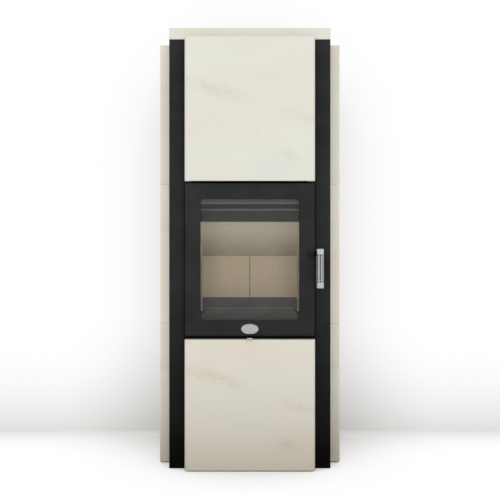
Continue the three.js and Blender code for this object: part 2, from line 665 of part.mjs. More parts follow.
// The inner sheet of the door: it presses on the glass and holds the rope in a channel.
function makeDoorLiner() {
  const { front, ribFront, rib, ropeClear } = LINER;
  const sheetRear = front + SHEET;
  const sheet = fromFront(ring(grown(DOOR_INSIDE, -GAP), LINER_OPENING), front, sheetRear);
  const pressOuter = grown(LINER_PRESS, LINER.pressRib);
  const pressRib = fromFront(ring(pressOuter, LINER_PRESS), ribFront, front + BITE);
  const channel = ROPE.diameter / 2 + ropeClear;
  const inner = grown(ROPE, -channel);
  const outer = grown(ROPE, channel);
  const ribStart = sheetRear - BITE;
  const innerRib = fromFront(ring(inner, grown(inner, -rib)), ribStart, DOOR.rear);
  const outerRib = fromFront(ring(grown(outer, rib), outer), ribStart, DOOR.rear);
  const shaft = [front - OVERRUN, sheetRear + OVERRUN];
  const shaftHole = barAlongDepth(LATCH.x, LATCH.z, LATCH.bore, ...shaft);
  add('door_inner_panel', cut(joined(sheet, pressRib, innerRib, outerRib), shaftHole), INNER_BLACK);
  const half = ROPE.diameter / 2;
  const section = ring(grown(ROPE, half), grown(ROPE, -half));
  const rope = fromFront(section, ROPE_FRONT, ROPE_FRONT + ROPE.diameter, ROPE.facet);
  add('door_gasket', rope, ROPE_GREY);
}

function makeBadge() {
  const { width, height, z, thickness, bevel } = BADGE;
  const outline = new THREE.Shape(oval(0, z, width / 2, height / 2));
  const rear = DOOR.front - GAP;
  add('badge_plate', fromFront(outline, rear - thickness, rear, bevel), STEEL);
}

// ---------------------------------------------------------------- handle and latch

const ARM = { front: -7, rear: 2, half: 6, head: 9, corner: 3, bevel: 1 };
const TONGUE = { front: 51, rear: 55, hub: 9, reach: 208.5, half: 6, shaftProud: 0.4 };
const KEEPER = { left: 199, right: 208.5, bottom: 674.5, top: 681.5 };

// The arm crosses from the shaft to the grip; the shaft goes through the door to the tongue.
function makeHandleArm() {
  const { front, rear, half, head, corner, bevel } = ARM;
  const { x, z, radius } = LATCH;
  const shaft = barAlongDepth(x, z, radius, front + bevel, TONGUE.rear + TONGUE.shaftProud);
  const outline = roundedRectangle(x - head, GRIP.x, z - half, z + half, corner);
  const bar = fromFront(outline, front, rear, bevel);
  const over = [z - half - OVERRUN, z + half + OVERRUN];
  const grip = uprightBar(GRIP.x, GRIP.depth, GRIP.radius + GAP, ...over);
  const insideGrip = GRIP.x - GRIP.radius / 2;
  const beyond = block(insideGrip, GRIP.x + OVERRUN, front - OVERRUN, rear + OVERRUN, ...over);
  add('handle_arm', cut(joined(shaft, bar), grip, beyond), BLACK);
}

// A turned upright piece, from a profile of [radius, z] points.
function turnedUpright(profile, x, depth, segments = 24) {
  const points = profile.map(([radius, z]) => new THREE.Vector2(radius, z));
  return new THREE.LatheGeometry(points, segments).rotateX(Math.PI / 2).translate(x, FRONT_Y + depth, 0);
}

function makeGrip() {
  const { x, depth, bottom, top, radius, round } = GRIP;
  const { end, wall, core } = GRIP_PARTS;
  const sleeveBottom = bottom + end + GAP;
  const sleeveTop = top - end - GAP;
  const lower = [
    [0, bottom], [radius - round, bottom], [radius, bottom + round], [radius, bottom + end],
    [core, bottom + end], [core, sleeveTop], [0, sleeveTop],
  ];
  const upper = [
    [0, top - end], [radius, top - end], [radius, top - round], [radius - round, top], [0, top],
  ];
  add('grip_core', turnedUpright(lower, x, depth), STEEL);
  add('grip_end_upper', turnedUpright(upper, x, depth), STEEL);
  const tube = uprightBar(x, depth, radius, sleeveBottom, sleeveTop);
  const bore = uprightBar(x, depth, radius - wall, sleeveBottom - OVERRUN, sleeveTop + OVERRUN);
  const pitch = (sleeveTop - sleeveBottom) / PERFORATION.rows;
  const drills = [];
  for (let row = 0; row < PERFORATION.rows; row += 1) {
    for (let column = 0; column < PERFORATION.columns / 2; column += 1) {
      const hole = PERFORATION.diameter / 2;
      const drill = new THREE.CylinderGeometry(hole, hole, radius * 3, PERFORATION.sides);
      drill.rotateX(Math.PI / 2).rotateZ((column * 2 * Math.PI) / PERFORATION.columns);
      drills.push(drill.translate(x, FRONT_Y + depth, sleeveBottom + (row + 0.5) * pitch));
    }
  }
  add('grip_sleeve', cut(solid(tube), bore, ...drills), STEEL);
}

function makeLatch() {
  const { front, rear, hub, reach, half } = TONGUE;
  const boss = barAlongDepth(LATCH.x, LATCH.z, hub, front, rear);
  const finger = block(LATCH.x, reach, front, rear, LATCH.z - half, LATCH.z + half);
  const shaftHole = barAlongDepth(LATCH.x, LATCH.z, LATCH.bore, front - OVERRUN, rear + OVERRUN);
  add('latch_tongue', cut(joined(boss, finger), shaftHole), STEEL);
  const { left, right, bottom, top } = KEEPER;
  add('latch_keeper', block(left, right, front, FRAME.front - GAP, bottom, top), STEEL);
}

// ---------------------------------------------------------------- assembly

makeBase();
makePosts();
makeSidePanels();
makeRearPanel();
makeCarriers();
makeSlab();
makeSideTiles();
makeFrontTile('lower_front_tile', FRONT_TILE.floorGap, FRONT_TILE.lowerTop);
makeFrontTile('upper_front_tile', FRONT_TILE.upperBottom, BODY_TOP);
makeFaceFrame();
makeFireboxBottom();
makeFireboxShell();
makeSupports();
makeLining();
makeBaffle();
makeHearth();
makeLogGuard();
makeAshPan();
makeAirwash();
makeSmokeWay();
makeHeatBlocks();
makeAirBox();
makeAirControl();
makeDoorFrame();
makeHingePins();
makeGlazing();
makeDoorLiner();
makeBadge();
makeHandleArm();
makeGrip();
makeLatch();

export default stove;
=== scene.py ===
# The looks of a tall tiled wood stove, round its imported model. Metres, +Z up, front towards -Y.

import math

import bmesh
import bpy
from mathutils import Matrix, Vector


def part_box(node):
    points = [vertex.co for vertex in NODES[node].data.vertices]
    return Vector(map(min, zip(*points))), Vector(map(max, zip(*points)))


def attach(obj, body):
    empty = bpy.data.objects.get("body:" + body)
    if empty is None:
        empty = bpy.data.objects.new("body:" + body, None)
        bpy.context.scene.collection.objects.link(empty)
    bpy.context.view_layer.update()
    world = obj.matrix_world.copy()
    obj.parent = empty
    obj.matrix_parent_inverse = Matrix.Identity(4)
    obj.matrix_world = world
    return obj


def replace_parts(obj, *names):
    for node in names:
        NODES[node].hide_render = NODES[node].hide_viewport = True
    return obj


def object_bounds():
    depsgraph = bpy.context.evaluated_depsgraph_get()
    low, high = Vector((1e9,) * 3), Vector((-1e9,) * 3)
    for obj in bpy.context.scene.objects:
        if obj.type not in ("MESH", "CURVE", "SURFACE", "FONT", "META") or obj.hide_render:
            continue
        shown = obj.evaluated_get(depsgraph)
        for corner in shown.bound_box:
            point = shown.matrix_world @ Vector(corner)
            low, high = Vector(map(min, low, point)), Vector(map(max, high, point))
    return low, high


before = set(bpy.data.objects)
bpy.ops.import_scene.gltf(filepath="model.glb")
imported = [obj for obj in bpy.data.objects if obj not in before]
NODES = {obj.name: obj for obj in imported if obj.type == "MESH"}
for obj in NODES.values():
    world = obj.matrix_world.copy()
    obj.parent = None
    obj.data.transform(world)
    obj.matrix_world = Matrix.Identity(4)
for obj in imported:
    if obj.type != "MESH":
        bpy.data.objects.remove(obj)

cad_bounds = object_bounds()
MM = 0.001


def low(node):
    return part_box(node)[0]


def high(node):
    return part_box(node)[1]


def new_object(name, data):
    made = bpy.data.objects.new(name, data)
    bpy.context.scene.collection.objects.link(made)
    return made


# ---------------- places taken from the frame

FRONT = low("lower_front_tile").y
GRIP_AXIS = (low("grip_sleeve") + high("grip_sleeve")) / 2
LATCH_Z = (low("handle_arm").z + high("handle_arm").z) / 2

# ---------------- camera

PICTURE_SIDE = 500.0
FOCAL_PIXELS = 767.6
SENSOR = 36.0
CAMERA_DISTANCE = 2.451
CAMERA_HEIGHT = 0.696
HORIZON_PIXEL = 253.87
CENTRE_PIXEL = 249.83


def make_camera():
    data = bpy.data.cameras.new("photo_camera")
    data.sensor_width = SENSOR
    data.lens = SENSOR * FOCAL_PIXELS / PICTURE_SIDE
    data.shift_y = (HORIZON_PIXEL - PICTURE_SIDE / 2) / PICTURE_SIDE
    data.shift_x = (PICTURE_SIDE / 2 - CENTRE_PIXEL) / PICTURE_SIDE
    camera = new_object("photo_camera", data)
    camera.location = (0.0, FRONT - CAMERA_DISTANCE, CAMERA_HEIGHT)
    camera.rotation_euler = (math.pi / 2, 0.0, 0.0)
    bpy.context.scene.camera = camera


# ---------------- node helpers

BLACK = (0.0, 0.0, 0.0)
WHITE = (1.0, 1.0, 1.0)
MIX_COLOUR_A = 6
MIX_COLOUR_B = 7
MIX_COLOUR_RESULT = 2


def opaque(colour):
    return (*colour, 1.0)


def put(tree, kind, inputs=None, output=0, **settings):
    """A new shader node; its inputs are values or other nodes' outputs. Returns one of its outputs."""
    node = tree.nodes.new("ShaderNode" + kind)
    for key, value in settings.items():
        setattr(node, key, value)
    for key, value in (inputs or {}).items():
        if isinstance(value, bpy.types.NodeSocket):
            tree.links.new(value, node.inputs[key])
        else:
            node.inputs[key].default_value = value
    return node.outputs[output]


def math_node(tree, operation, a, b=0.0):
    return put(tree, "Math", {0: a, 1: b}, operation=operation)


def added(tree, a, b):
    return math_node(tree, "ADD", a, b)


def minus(tree, a, b):
    return math_node(tree, "SUBTRACT", a, b)


def times(tree, a, b):
    return math_node(tree, "MULTIPLY", a, b)


def blended(tree, factor, a, b):
    """Colour a where the factor is 0, colour b where it is 1."""
    inputs = {0: factor}
    for socket, colour in ((MIX_COLOUR_A, a), (MIX_COLOUR_B, b)):
        inputs[socket] = colour if isinstance(colour, bpy.types.NodeSocket) else opaque(colour)
    return put(tree, "Mix", inputs, output=MIX_COLOUR_RESULT, data_type="RGBA")


def remapped(tree, value, low_in, high_in, low_out=0.0, high_out=1.0, smooth=False):
    kind = "SMOOTHSTEP" if smooth else "LINEAR"
    inputs = {"Value": value, "From Min": low_in, "From Max": high_in, "To Min": low_out, "To Max": high_out}
    return put(tree, "MapRange", inputs, interpolation_type=kind)


def object_point(tree):
    """The point on the object in metres."""
    return put(tree, "TexCoord", output="Object")


def place(tree, scale=(1.0, 1.0, 1.0)):
    """The point on the object, scaled."""
    return put(tree, "Mapping", {"Vector": object_point(tree), "Scale": scale})


def parts_of(tree, vector):
    """The three outputs x, y and z of a vector."""
    return put(tree, "SeparateXYZ", {0: vector}).node.outputs


def noise(tree, vector, scale, detail=3.0, roughness=0.5):
    return put(tree, "TexNoise", {"Vector": vector, "Scale": scale, "Detail": detail, "Roughness": roughness})


def openness(tree, reach, samples):
    """How much of the room a point sees within reach, 0 to 1."""
    return put(tree, "AmbientOcclusion", {"Distance": reach}, output="AO", samples=samples)


def linear(red, green, blue):
    """An sRGB colour of 0 to 255 as linear light."""
    shares = (red / 255, green / 255, blue / 255)
    return tuple(v / 12.92 if v <= 0.04045 else ((v + 0.055) / 1.055) ** 2.4 for v in shares)


def scaled(colour, *shares):
    """The colour times one share after another."""
    for share in shares:
        colour = tuple(value * share for value in colour)
    return colour


def new_material(name):
    material = bpy.data.materials.new(name)
    material.use_nodes = True
    material.node_tree.nodes.clear()
    return material, material.node_tree


def surface(tree, shader):
    output = tree.nodes.new("ShaderNodeOutputMaterial")
    tree.links.new(shader, output.inputs["Surface"])


def finish_principled(tree, colour, roughness, height, relief, strength=1.0, **others):
    """Adds the Principled shader with a bump of so much relief; other inputs' names have underscores."""
    bump = put(tree, "Bump", {"Height": height, "Distance": relief, "Strength": strength})
    inputs = {"Base Color": colour, "Roughness": roughness, "Normal": bump}
    inputs.update((key.replace("_", " "), value) for key, value in others.items())
    surface(tree, put(tree, "BsdfPrincipled", inputs))


# ---------------- stage and light

SHOWN_RAYS = ("Is Camera Ray", "Is Glossy Ray", "Is Transmission Ray")
ALL_ROUND_LIGHT = 0.60
FRONT_LIGHT = 1.45
FRONT_LIGHT_SPREAD = 1.8
STAGE_SIZE = 5.0
WALL_GAP = 0.047
SHADE_REACH = 0.45
SHADE_SAMPLES = 24
OPEN_AT = 0.93
GLOOM_SLOPE = 1.111
GLOOM_DEPTH = 0.97
GLOOM_POWER = 1.85
GLOOM_TINT = (1.0, 0.988, 0.965)
GLOOM_TINTED_AT = 0.3
NEAR_FLOOR_LIGHT = (0.20, 0.155, 0.08)
NEAR_FLOOR_REACH = 0.20
FAR_FLOOR_REACH = 0.44


def seen_straight(tree):
    """1 on camera, glossy and transmission rays, otherwise 0."""
    path = put(tree, "LightPath").node
    total = path.outputs[SHOWN_RAYS[0]]
    for name in SHOWN_RAYS[1:]:
        total = math_node(tree, "MAXIMUM", total, path.outputs[name])
    return total


def make_world():
    """White all round, and softly brighter from the front, as from a large diffuser there."""
    world = bpy.data.worlds.new("studio")
    world.use_nodes = True
    tree = world.node_tree
    tree.nodes.clear()
    direction = parts_of(tree, put(tree, "TexCoord", output="Generated"))
    towards_front = math_node(tree, "MAXIMUM", times(tree, direction[1], -1.0), 0.0)
    lobe = math_node(tree, "POWER", towards_front, FRONT_LIGHT_SPREAD)
    strength = added(tree, times(tree, lobe, FRONT_LIGHT), ALL_ROUND_LIGHT)
    light = put(tree, "Background", {"Color": opaque(WHITE), "Strength": strength})
    backdrop = put(tree, "Background", {"Color": opaque(WHITE), "Strength": 1.0})
    shown = put(tree, "MixShader", {0: seen_straight(tree), 1: light, 2: backdrop})
    output = tree.nodes.new("ShaderNodeOutputWorld")
    tree.links.new(shown, output.inputs["Surface"])
    bpy.context.scene.world = world


def shaded_white(tree):
    """White that darkens beside the stove and in the corner between floor and wall."""
    closed = math_node(tree, "MAXIMUM", minus(tree, OPEN_AT, openness(tree, SHADE_REACH, SHADE_SAMPLES)), 0.0)
    gloom = math_node(tree, "POWER", times(tree, closed, GLOOM_SLOPE), GLOOM_POWER)
    lightness = minus(tree, 1.0, times(tree, gloom, GLOOM_DEPTH))
    colour = blended(tree, remapped(tree, gloom, 0.0, GLOOM_TINTED_AT), WHITE, GLOOM_TINT)
    return put(tree, "Emission", {"Color": colour, "Strength": lightness})


def distance_from_stove(tree):
    """How far a point of the floor lies outside the stove's footprint."""
    parts = parts_of(tree, object_point(tree))
    squares = []
    for axis in range(2):
        middle = (cad_bounds[0][axis] + cad_bounds[1][axis]) / 2
        half = (cad_bounds[1][axis] - cad_bounds[0][axis]) / 2
        from_middle = math_node(tree, "ABSOLUTE", minus(tree, parts[axis], middle))
        outside = math_node(tree, "MAXIMUM", minus(tree, from_middle, half), 0.0)
        squares.append(times(tree, outside, outside))
    return math_node(tree, "SQRT", added(tree, *squares))


def make_sheet(name, corners, material):
    mesh = bpy.data.meshes.new(name)
    mesh.from_pydata(corners, [], [range(len(corners))])
    mesh.materials.append(material)
    return new_object(name, mesh)


def make_floor():
    """White to look at; beside the stove it gives the stove little light."""
    material, tree = new_material("floor_white")
    far = remapped(tree, distance_from_stove(tree), NEAR_FLOOR_REACH, FAR_FLOOR_REACH, smooth=True)
    given = put(tree, "Emission", {"Color": blended(tree, far, NEAR_FLOOR_LIGHT, WHITE)})
    path = put(tree, "LightPath").node.outputs
    looked_at = math_node(tree, "MAXIMUM", path["Is Camera Ray"], path["Is Transmission Ray"])
    surface(tree, put(tree, "MixShader", {0: looked_at, 1: given, 2: shaded_white(tree)}))
    reach = STAGE_SIZE
    corners = [(-reach, -reach, 0.0), (reach, -reach, 0.0), (reach, reach, 0.0), (-reach, reach, 0.0)]
    make_sheet("floor", corners, material)


def make_wall():
    """A wall close behind the stove, seen from its front only; the stove gets no light from it."""
    material, tree = new_material("wall_white")
    path = put(tree, "LightPath", output="Is Camera Ray")
    behind = put(tree, "NewGeometry", output="Backfacing")
    shown = times(tree, path, minus(tree, 1.0, behind))
    clear = put(tree, "BsdfTransparent", {"Color": opaque(WHITE)})
    surface(tree, put(tree, "MixShader", {0: shown, 1: clear, 2: shaded_white(tree)}))
    y = high("flue_collar").y + WALL_GAP
    reach = STAGE_SIZE
    corners = [(-reach, y, 0.0), (reach, y, 0.0), (reach, y, reach), (-reach, y, reach)]
    wall = make_sheet("wall", corners, material)
    wall.visible_diffuse = False
    wall.visible_glossy = False
    wall.visible_transmission = False


# ---------------- stone

# Streaks of a stone face: centre across and up from its lower left corner, length, width, lean, strength.
STREAKS = (
    (0.095, 0.298, 0.270, 0.060, -0.28, 0.95),
    (0.180, 0.256, 0.190, 0.020, -0.20, 0.45),
    (0.372, 0.205, 0.170, 0.044, -0.25, 0.70),
    (0.335, 0.085, 0.120, 0.044, -0.40, 0.75),
    (0.228, 0.148, 0.050, 0.010, -0.20, 0.50),
    (0.075, 0.130, 0.030, 0.008, -0.20, 0.40),
    (0.260, 0.345, 0.200, 0.060, -0.25, 0.18),
)
SIDE_TILE_WIDTH_SHARE = 0.9
SIDE_STREAKS = tuple((across * SIDE_TILE_WIDTH_SHARE, up, *rest) for across, up, *rest in STREAKS)
STONE_LIGHT = linear(208, 208, 197)
STONE_WARM = linear(208, 204, 192)
# The lower front tile's colours are a warmer copy of the stone's: painted shade.
LOWER_SHADE_PALE = linear(212, 208, 197)
LOWER_SHADE_WARM = linear(211, 204, 191)
# The side tiles' colours are a paler copy of the stone's: painted light.
SIDE_LIT_PALE = linear(231, 226, 211)
SIDE_LIT_WARM = linear(228, 221, 205)
# Painted shade: the right side tiles' colours are darkened.
SIDE_SHADE_SHARES = {"left": 1.0, "right": 0.955}
ROW_SHARES = {"lower": 1.0, "middle": 1.0, "upper": 0.955}
STREAK_COLOUR = linear(172, 162, 144)
COOLER = (0.955, 0.975, 0.985)
COOL_PATCHES_AT = (3.1, 1.7, 5.3)
GRAIN_LEAN = -0.28
STREAK_WANDER = 0.030
STREAK_DEPTH = 100.0
EVEN_STREAK_SHARE = 0.15
SPECK_SHARE = 0.05
STONE_RELIEF = 0.06 * MM

# The share of a colour left at the foot, the height up to which that holds, and where it is whole.
PANEL_FOOT_SHADE = (0.955, 0.0, 0.35)
SIDE_FOOT_SHADES = {"left": (0.80, 0.0, 0.30), "right": (0.77, 0.0, 0.33)}
POST_FOOT_SHADE = (0.05, 0.05, 0.60)
DOOR_FOOT_SHADE = (0.55, 0.05, 0.93)

# The axes of a stone face that run across it, into it and up it.
FRONT_PLANE = (0, 1, 2)
SIDE_PLANE = (1, 0, 2)
TOP_PLANE = (0, 2, 1)


def shaded_at_foot(tree, colour, height, left, dark_to, whole_at):
    """The colour, darkened near the floor, where the light from the room hardly reaches."""
    share = remapped(tree, height, dark_to, whole_at, left, 1.0)
    return blended(tree, share, BLACK, colour)


def speckle(tree, vector, scale, low_in, high_in):
    """Small scattered spots, 0 to 1."""
    return remapped(tree, noise(tree, vector, scale, detail=4.0, roughness=0.7), low_in, high_in)


def streak_strength(tree, point, corner_x, corner_z, streaks):
    """Soft ovals where the streaks lie, with wandering outlines."""
    wander = noise(tree, point, scale=9.0, detail=4.0, roughness=0.6)
    both_ways = put(tree, "CombineXYZ", {0: wander, 2: wander})
    shift = put(tree, "VectorMath", {0: both_ways, 1: (-0.5, 0.0, -0.5)}, operation="ADD")
    spread = put(tree, "VectorMath", {0: shift, "Scale": STREAK_WANDER}, operation="SCALE")
    bent = put(tree, "VectorMath", {0: point, 1: spread}, operation="ADD")
    total = 0.0
    for across, up, length, width, lean, strength in streaks:
        centre = (corner_x + across, 0.0, corner_z + up)
        mapping = {"Vector": bent, "Location": centre, "Rotation": (0.0, -lean, 0.0)}
        mapping["Scale"] = (length / 2, STREAK_DEPTH, width / 2)
        inside = put(tree, "Mapping", mapping, vector_type="TEXTURE")
        fading = put(tree, "TexGradient", {"Vector": inside}, output=1, gradient_type="SPHERICAL")
        total = added(tree, total, times(tree, fading, strength))
    return total


def stone(name, node, streaks=STREAKS, light=STONE_LIGHT, warm=STONE_WARM, plane=FRONT_PLANE, shade=None):
    """Pale honed stone. Its streaks lie on the node's faces of one plane, from their lower left corner."""
    material, tree = new_material(name)
    parts = parts_of(tree, object_point(tree))
    point = put(tree, "CombineXYZ", {i: parts[axis] for i, axis in enumerate(plane)})

    def along_grain(*stretch):
        return put(tree, "Mapping", {"Vector": point, "Rotation": (0.0, GRAIN_LEAN, 0.0), "Scale": stretch})

    wide = noise(tree, along_grain(2.2, 2.2, 5.0), scale=1.0, detail=4.0)
    colour = blended(tree, remapped(tree, wide, 0.40, 0.62, smooth=True), light, warm)
    aside = {"Vector": point, "Location": COOL_PATCHES_AT, "Scale": (1.0, 1.0, 2.2)}
    cool = noise(tree, put(tree, "Mapping", aside), scale=6.0, detail=4.0)
    cooler = tuple(value * share for value, share in zip(light, COOLER))
    colour = blended(tree, remapped(tree, cool, 0.46, 0.68, 0.0, 0.6, smooth=True), colour, cooler)
    fibres = noise(tree, along_grain(90.0, 90.0, 420.0), scale=1.0, detail=6.0, roughness=0.7)
    flecks = remapped(tree, fibres, 0.44, 0.66)
    clumps = noise(tree, along_grain(16.0, 16.0, 60.0), scale=1.0, detail=6.0, roughness=0.75)
    patches = remapped(tree, clumps, 0.28, 0.60)
    fine = added(tree, times(tree, flecks, 1.0 - EVEN_STREAK_SHARE), EVEN_STREAK_SHARE)
    corner = low(node)[plane[0]], low(node)[plane[2]]
    vein = times(tree, times(tree, streak_strength(tree, point, *corner, streaks), patches), fine)
    colour = blended(tree, times(tree, flecks, SPECK_SHARE), colour, STREAK_COLOUR)
    colour = blended(tree, math_node(tree, "MINIMUM", vein, 1.0), colour, STREAK_COLOUR)
    grain = speckle(tree, point, 260.0, 0.40, 0.72)
    colour = blended(tree, times(tree, grain, SPECK_SHARE), colour, STREAK_COLOUR)
    if shade:
        colour = shaded_at_foot(tree, colour, parts[2], *shade)
    height = added(tree, grain, noise(tree, point, scale=60.0, detail=4.0))
    rough = remapped(tree, noise(tree, point, scale=25.0), 0.3, 0.7, 0.42, 0.55)
    finish_principled(tree, colour, rough, height, STONE_RELIEF, Specular_IOR_Level=0.22)
    return material


# ---------------- paint

PAINT_DARK = linear(30, 30, 31)
PAINT_LIGHT = linear(37, 37, 37)
# Near black for the sheets seen only in the gaps: painted shade.
GAP_SHADE_DARK = linear(6, 6, 7)
GAP_SHADE_PALE = linear(11, 11, 11)
POST_DARK = linear(33, 33, 34)
POST_LIGHT = linear(40, 40, 40)
DOOR_DARK = linear(32, 32, 33)
DOOR_LIGHT = linear(40, 40, 40)
# A darker copy of the door's paint for the arm: painted shade.
ARM_DARK = linear(26, 26, 27)
ARM_LIGHT = linear(32, 32, 32)
FIREBOX_DARK = linear(62, 62, 62)
FIREBOX_PALE = linear(68, 68, 67)
LINER_DARK = linear(78, 78, 78)
LINER_PALE = linear(86, 86, 85)
ASH = linear(120, 118, 113)
ASH_SHARE = 0.12
CORNER_REACH = 0.06
CORNER_SAMPLES = 8
CORNER_SHADE = 0.55
SPRAY_RELIEF = 0.04 * MM
DUST_RELIEF = 0.06 * MM
# Across the arm, where its paint turns black towards the grip: a painted shadow.
ARM_SHADOW_BLACK_AT = 19.5 * MM
ARM_SHADOW_FROM = 22.5 * MM

# Heights between which an inner sheet has another colour: painted highlights on its lips and beads, painted
# shade on the duct's face below the bead.
LINER_EDGE_HIGHLIGHT = (0.8575, 0.8620, linear(98, 98, 98))
BEAD_HIGHLIGHT = (0.8373, 0.8433, linear(87, 87, 87))
AIRWASH_FACE_SHADE = (0.8000, 0.8373, linear(38, 38, 38))


def painted_corner_shade(tree, colour):
    """Painted shade: darkens a colour in corners, where little of the room's light reaches."""
    share = remapped(tree, openness(tree, CORNER_REACH, CORNER_SAMPLES), 0.45, 0.95, CORNER_SHADE, 1.0)
    return blended(tree, share, BLACK, colour)


def spray(tree, point):
    return noise(tree, point, scale=1400.0, detail=2.0)


def stove_paint(name, dark=PAINT_DARK, pale=PAINT_LIGHT, gloss=0.16, shade=None, corners=False):
    """Matt stove paint with a fine sprayed grain and faint cloudy wear."""
    material, tree = new_material(name)
    point = place(tree)
    cloud = noise(tree, point, scale=9.0, detail=5.0, roughness=0.6)
    colour = blended(tree, remapped(tree, cloud, 0.35, 0.65, smooth=True), dark, pale)
    if shade:
        colour = shaded_at_foot(tree, colour, parts_of(tree, point)[2], *shade)
    # With corners, the colour gets painted shade where nearby parts hide it from the room's light.
    if corners:
        colour = painted_corner_shade(tree, colour)
    rough = remapped(tree, noise(tree, point, scale=45.0, detail=4.0), 0.3, 0.7, 0.43, 0.54)
    finish_principled(tree, colour, rough, spray(tree, point), SPRAY_RELIEF, Specular_IOR_Level=gloss)
    return material


def arm_paint():
    """The arm's paint is a darker copy of the door's, painted shade, and turns black beside the grip, a
    painted shadow.
    """
    material, tree = new_material("arm_paint")
    point = place(tree)
    cloud = noise(tree, point, scale=30.0, detail=5.0, roughness=0.6)
    colour = blended(tree, remapped(tree, cloud, 0.35, 0.65, smooth=True), ARM_DARK, ARM_LIGHT)
    shadow_edges = GRIP_AXIS.x - ARM_SHADOW_FROM, GRIP_AXIS.x - ARM_SHADOW_BLACK_AT
    colour = blended(tree, remapped(tree, parts_of(tree, point)[0], *shadow_edges), colour, BLACK)
    rough = remapped(tree, cloud, 0.3, 0.7, 0.5, 0.62)
    finish_principled(tree, colour, rough, spray(tree, point), SPRAY_RELIEF, Specular_IOR_Level=0.06)
    return material


def firebox_paint(name="firebox_black", dark=FIREBOX_DARK, pale=FIREBOX_PALE, light_and_shade_bands=()):
    """Heat-proof paint inside the stove, with a little ash on it.

    light_and_shade_bands are heights in metres, from and to, each with the colour painted there, painted
    highlight and painted shade alike."""
    material, tree = new_material(name)
    point = place(tree)
    cloud = noise(tree, point, scale=60.0, detail=6.0, roughness=0.6)
    colour = blended(tree, remapped(tree, cloud, 0.38, 0.66, smooth=True), dark, pale)
    height = parts_of(tree, point)[2]
    for bottom, top, other in light_and_shade_bands:
        above = math_node(tree, "GREATER_THAN", height, bottom)
        below = math_node(tree, "LESS_THAN", height, top)
        colour = blended(tree, times(tree, above, below), colour, other)
    dust = speckle(tree, point, 600.0, 0.55, 0.75)
    colour = blended(tree, times(tree, dust, ASH_SHARE), colour, ASH)
    rough = remapped(tree, cloud, 0.3, 0.7, 0.55, 0.75)
    finish_principled(tree, colour, rough, dust, DUST_RELIEF, Specular_IOR_Level=0.25)
    return material


# ---------------- firebrick

BRICK_DEEP = linear(214, 198, 172)
BRICK_PALE = linear(238, 224, 199)
BRICK_PIT = linear(132, 117, 97)
# A paler copy of the brick's colours; on the baffle it is painted light.
PALER_BRICK_DEEP = linear(251, 240, 219)
PALER_BRICK_PALE = linear(255, 251, 236)
SOOT_AND_SHADE = linear(118, 109, 94)
PIT_SHARE = 0.35
PIT_DEPTH = 0.6
BRICK_RELIEF = 0.5 * MM
BAFFLE_LOW, BAFFLE_HIGH = low("baffle_plate"), high("baffle_plate")
BAFFLE_BRIGHT_HALF = 0.06
BAFFLE_SHADE_FROM = BAFFLE_HIGH.z - 0.055
BAFFLE_EDGE = (BAFFLE_HIGH.z - 0.038, BAFFLE_HIGH.z - 0.028)
BAFFLE_SHADE = {"down": 0.58, "aside": 0.18, "edge": 0.12}
REAR_SHADE_ASIDE = (0.09, 0.16)
REAR_SIDE_SHADE = 0.20
JOINT_SOOT = 1.3 * MM
SIDE_DARKENING_HEIGHTS = (0.66, 0.80)
SIDE_DARKENING = 0.60


def baffle_shade(tree, point):
    """Painted shade: the baffle is brightest in its middle a little below its upper edge, and darkens
    downwards, to both sides and towards that edge.
    """
    parts = parts_of(tree, point)
    down = remapped(tree, parts[2], BAFFLE_SHADE_FROM, BAFFLE_LOW.z, 0.0, BAFFLE_SHADE["down"])
    from_middle = math_node(tree, "ABSOLUTE", parts[0])
    sides = (BAFFLE_BRIGHT_HALF, BAFFLE_HIGH.x)
    aside = remapped(tree, from_middle, *sides, 0.0, BAFFLE_SHADE["aside"], smooth=True)
    edge = remapped(tree, parts[2], *BAFFLE_EDGE, 0.0, BAFFLE_SHADE["edge"])
    dull = added(tree, added(tree, down, aside), edge)
    ragged = remapped(tree, noise(tree, point, scale=9.0, detail=5.0), 0.3, 0.7, 0.85, 1.15)
    return math_node(tree, "MINIMUM", times(tree, dull, ragged), 1.0)


def rear_shade_and_joint(tree, point):
    """The rear lining has painted shade towards its sides, and is black in its centre joint."""
    aside = math_node(tree, "ABSOLUTE", parts_of(tree, point)[0])
    dull = remapped(tree, aside, *REAR_SHADE_ASIDE, 0.0, REAR_SIDE_SHADE, smooth=True)
    return math_node(tree, "MAXIMUM", dull, math_node(tree, "LESS_THAN", aside, JOINT_SOOT))


def side_darkening(tree, point):
    """The side linings are darker lower down."""
    return remapped(tree, parts_of(tree, point)[2], *SIDE_DARKENING_HEIGHTS, SIDE_DARKENING, 0.0)


def firebrick(name, soot_and_shade=None, deep=BRICK_DEEP, pale=BRICK_PALE):
    """Pressed vermiculite: layered flakes, fine grains and small pits.

    soot_and_shade is a function of the tree and the point that gives how much the face is darkened, 0 to 1;
    on the baffle and the rear lining's sides this is painted shade."""
    material, tree = new_material(name)
    point = place(tree)
    flakes = noise(tree, place(tree, scale=(1.0, 1.0, 2.6)), scale=190.0, detail=5.0, roughness=0.7)
    broad = noise(tree, point, scale=6.0, detail=4.0)
    colour = blended(tree, remapped(tree, flakes, 0.32, 0.68), deep, pale)
    colour = blended(tree, remapped(tree, broad, 0.45, 0.70, 0.0, 0.25, smooth=True), colour, deep)
    pits = speckle(tree, point, 420.0, 0.60, 0.74)
    colour = blended(tree, times(tree, pits, PIT_SHARE), colour, BRICK_PIT)
    if soot_and_shade:
        colour = blended(tree, soot_and_shade(tree, point), colour, SOOT_AND_SHADE)
    height = minus(tree, flakes, times(tree, pits, PIT_DEPTH))
    finish_principled(tree, colour, 0.92, height, BRICK_RELIEF, 0.7, Specular_IOR_Level=0.15)
    return material


# ---------------- iron, sheet, rope and glass

IRON_DARK = linear(66, 65, 64)
IRON_PALE = linear(78, 76, 73)
IRON_RELIEF = 0.6 * MM
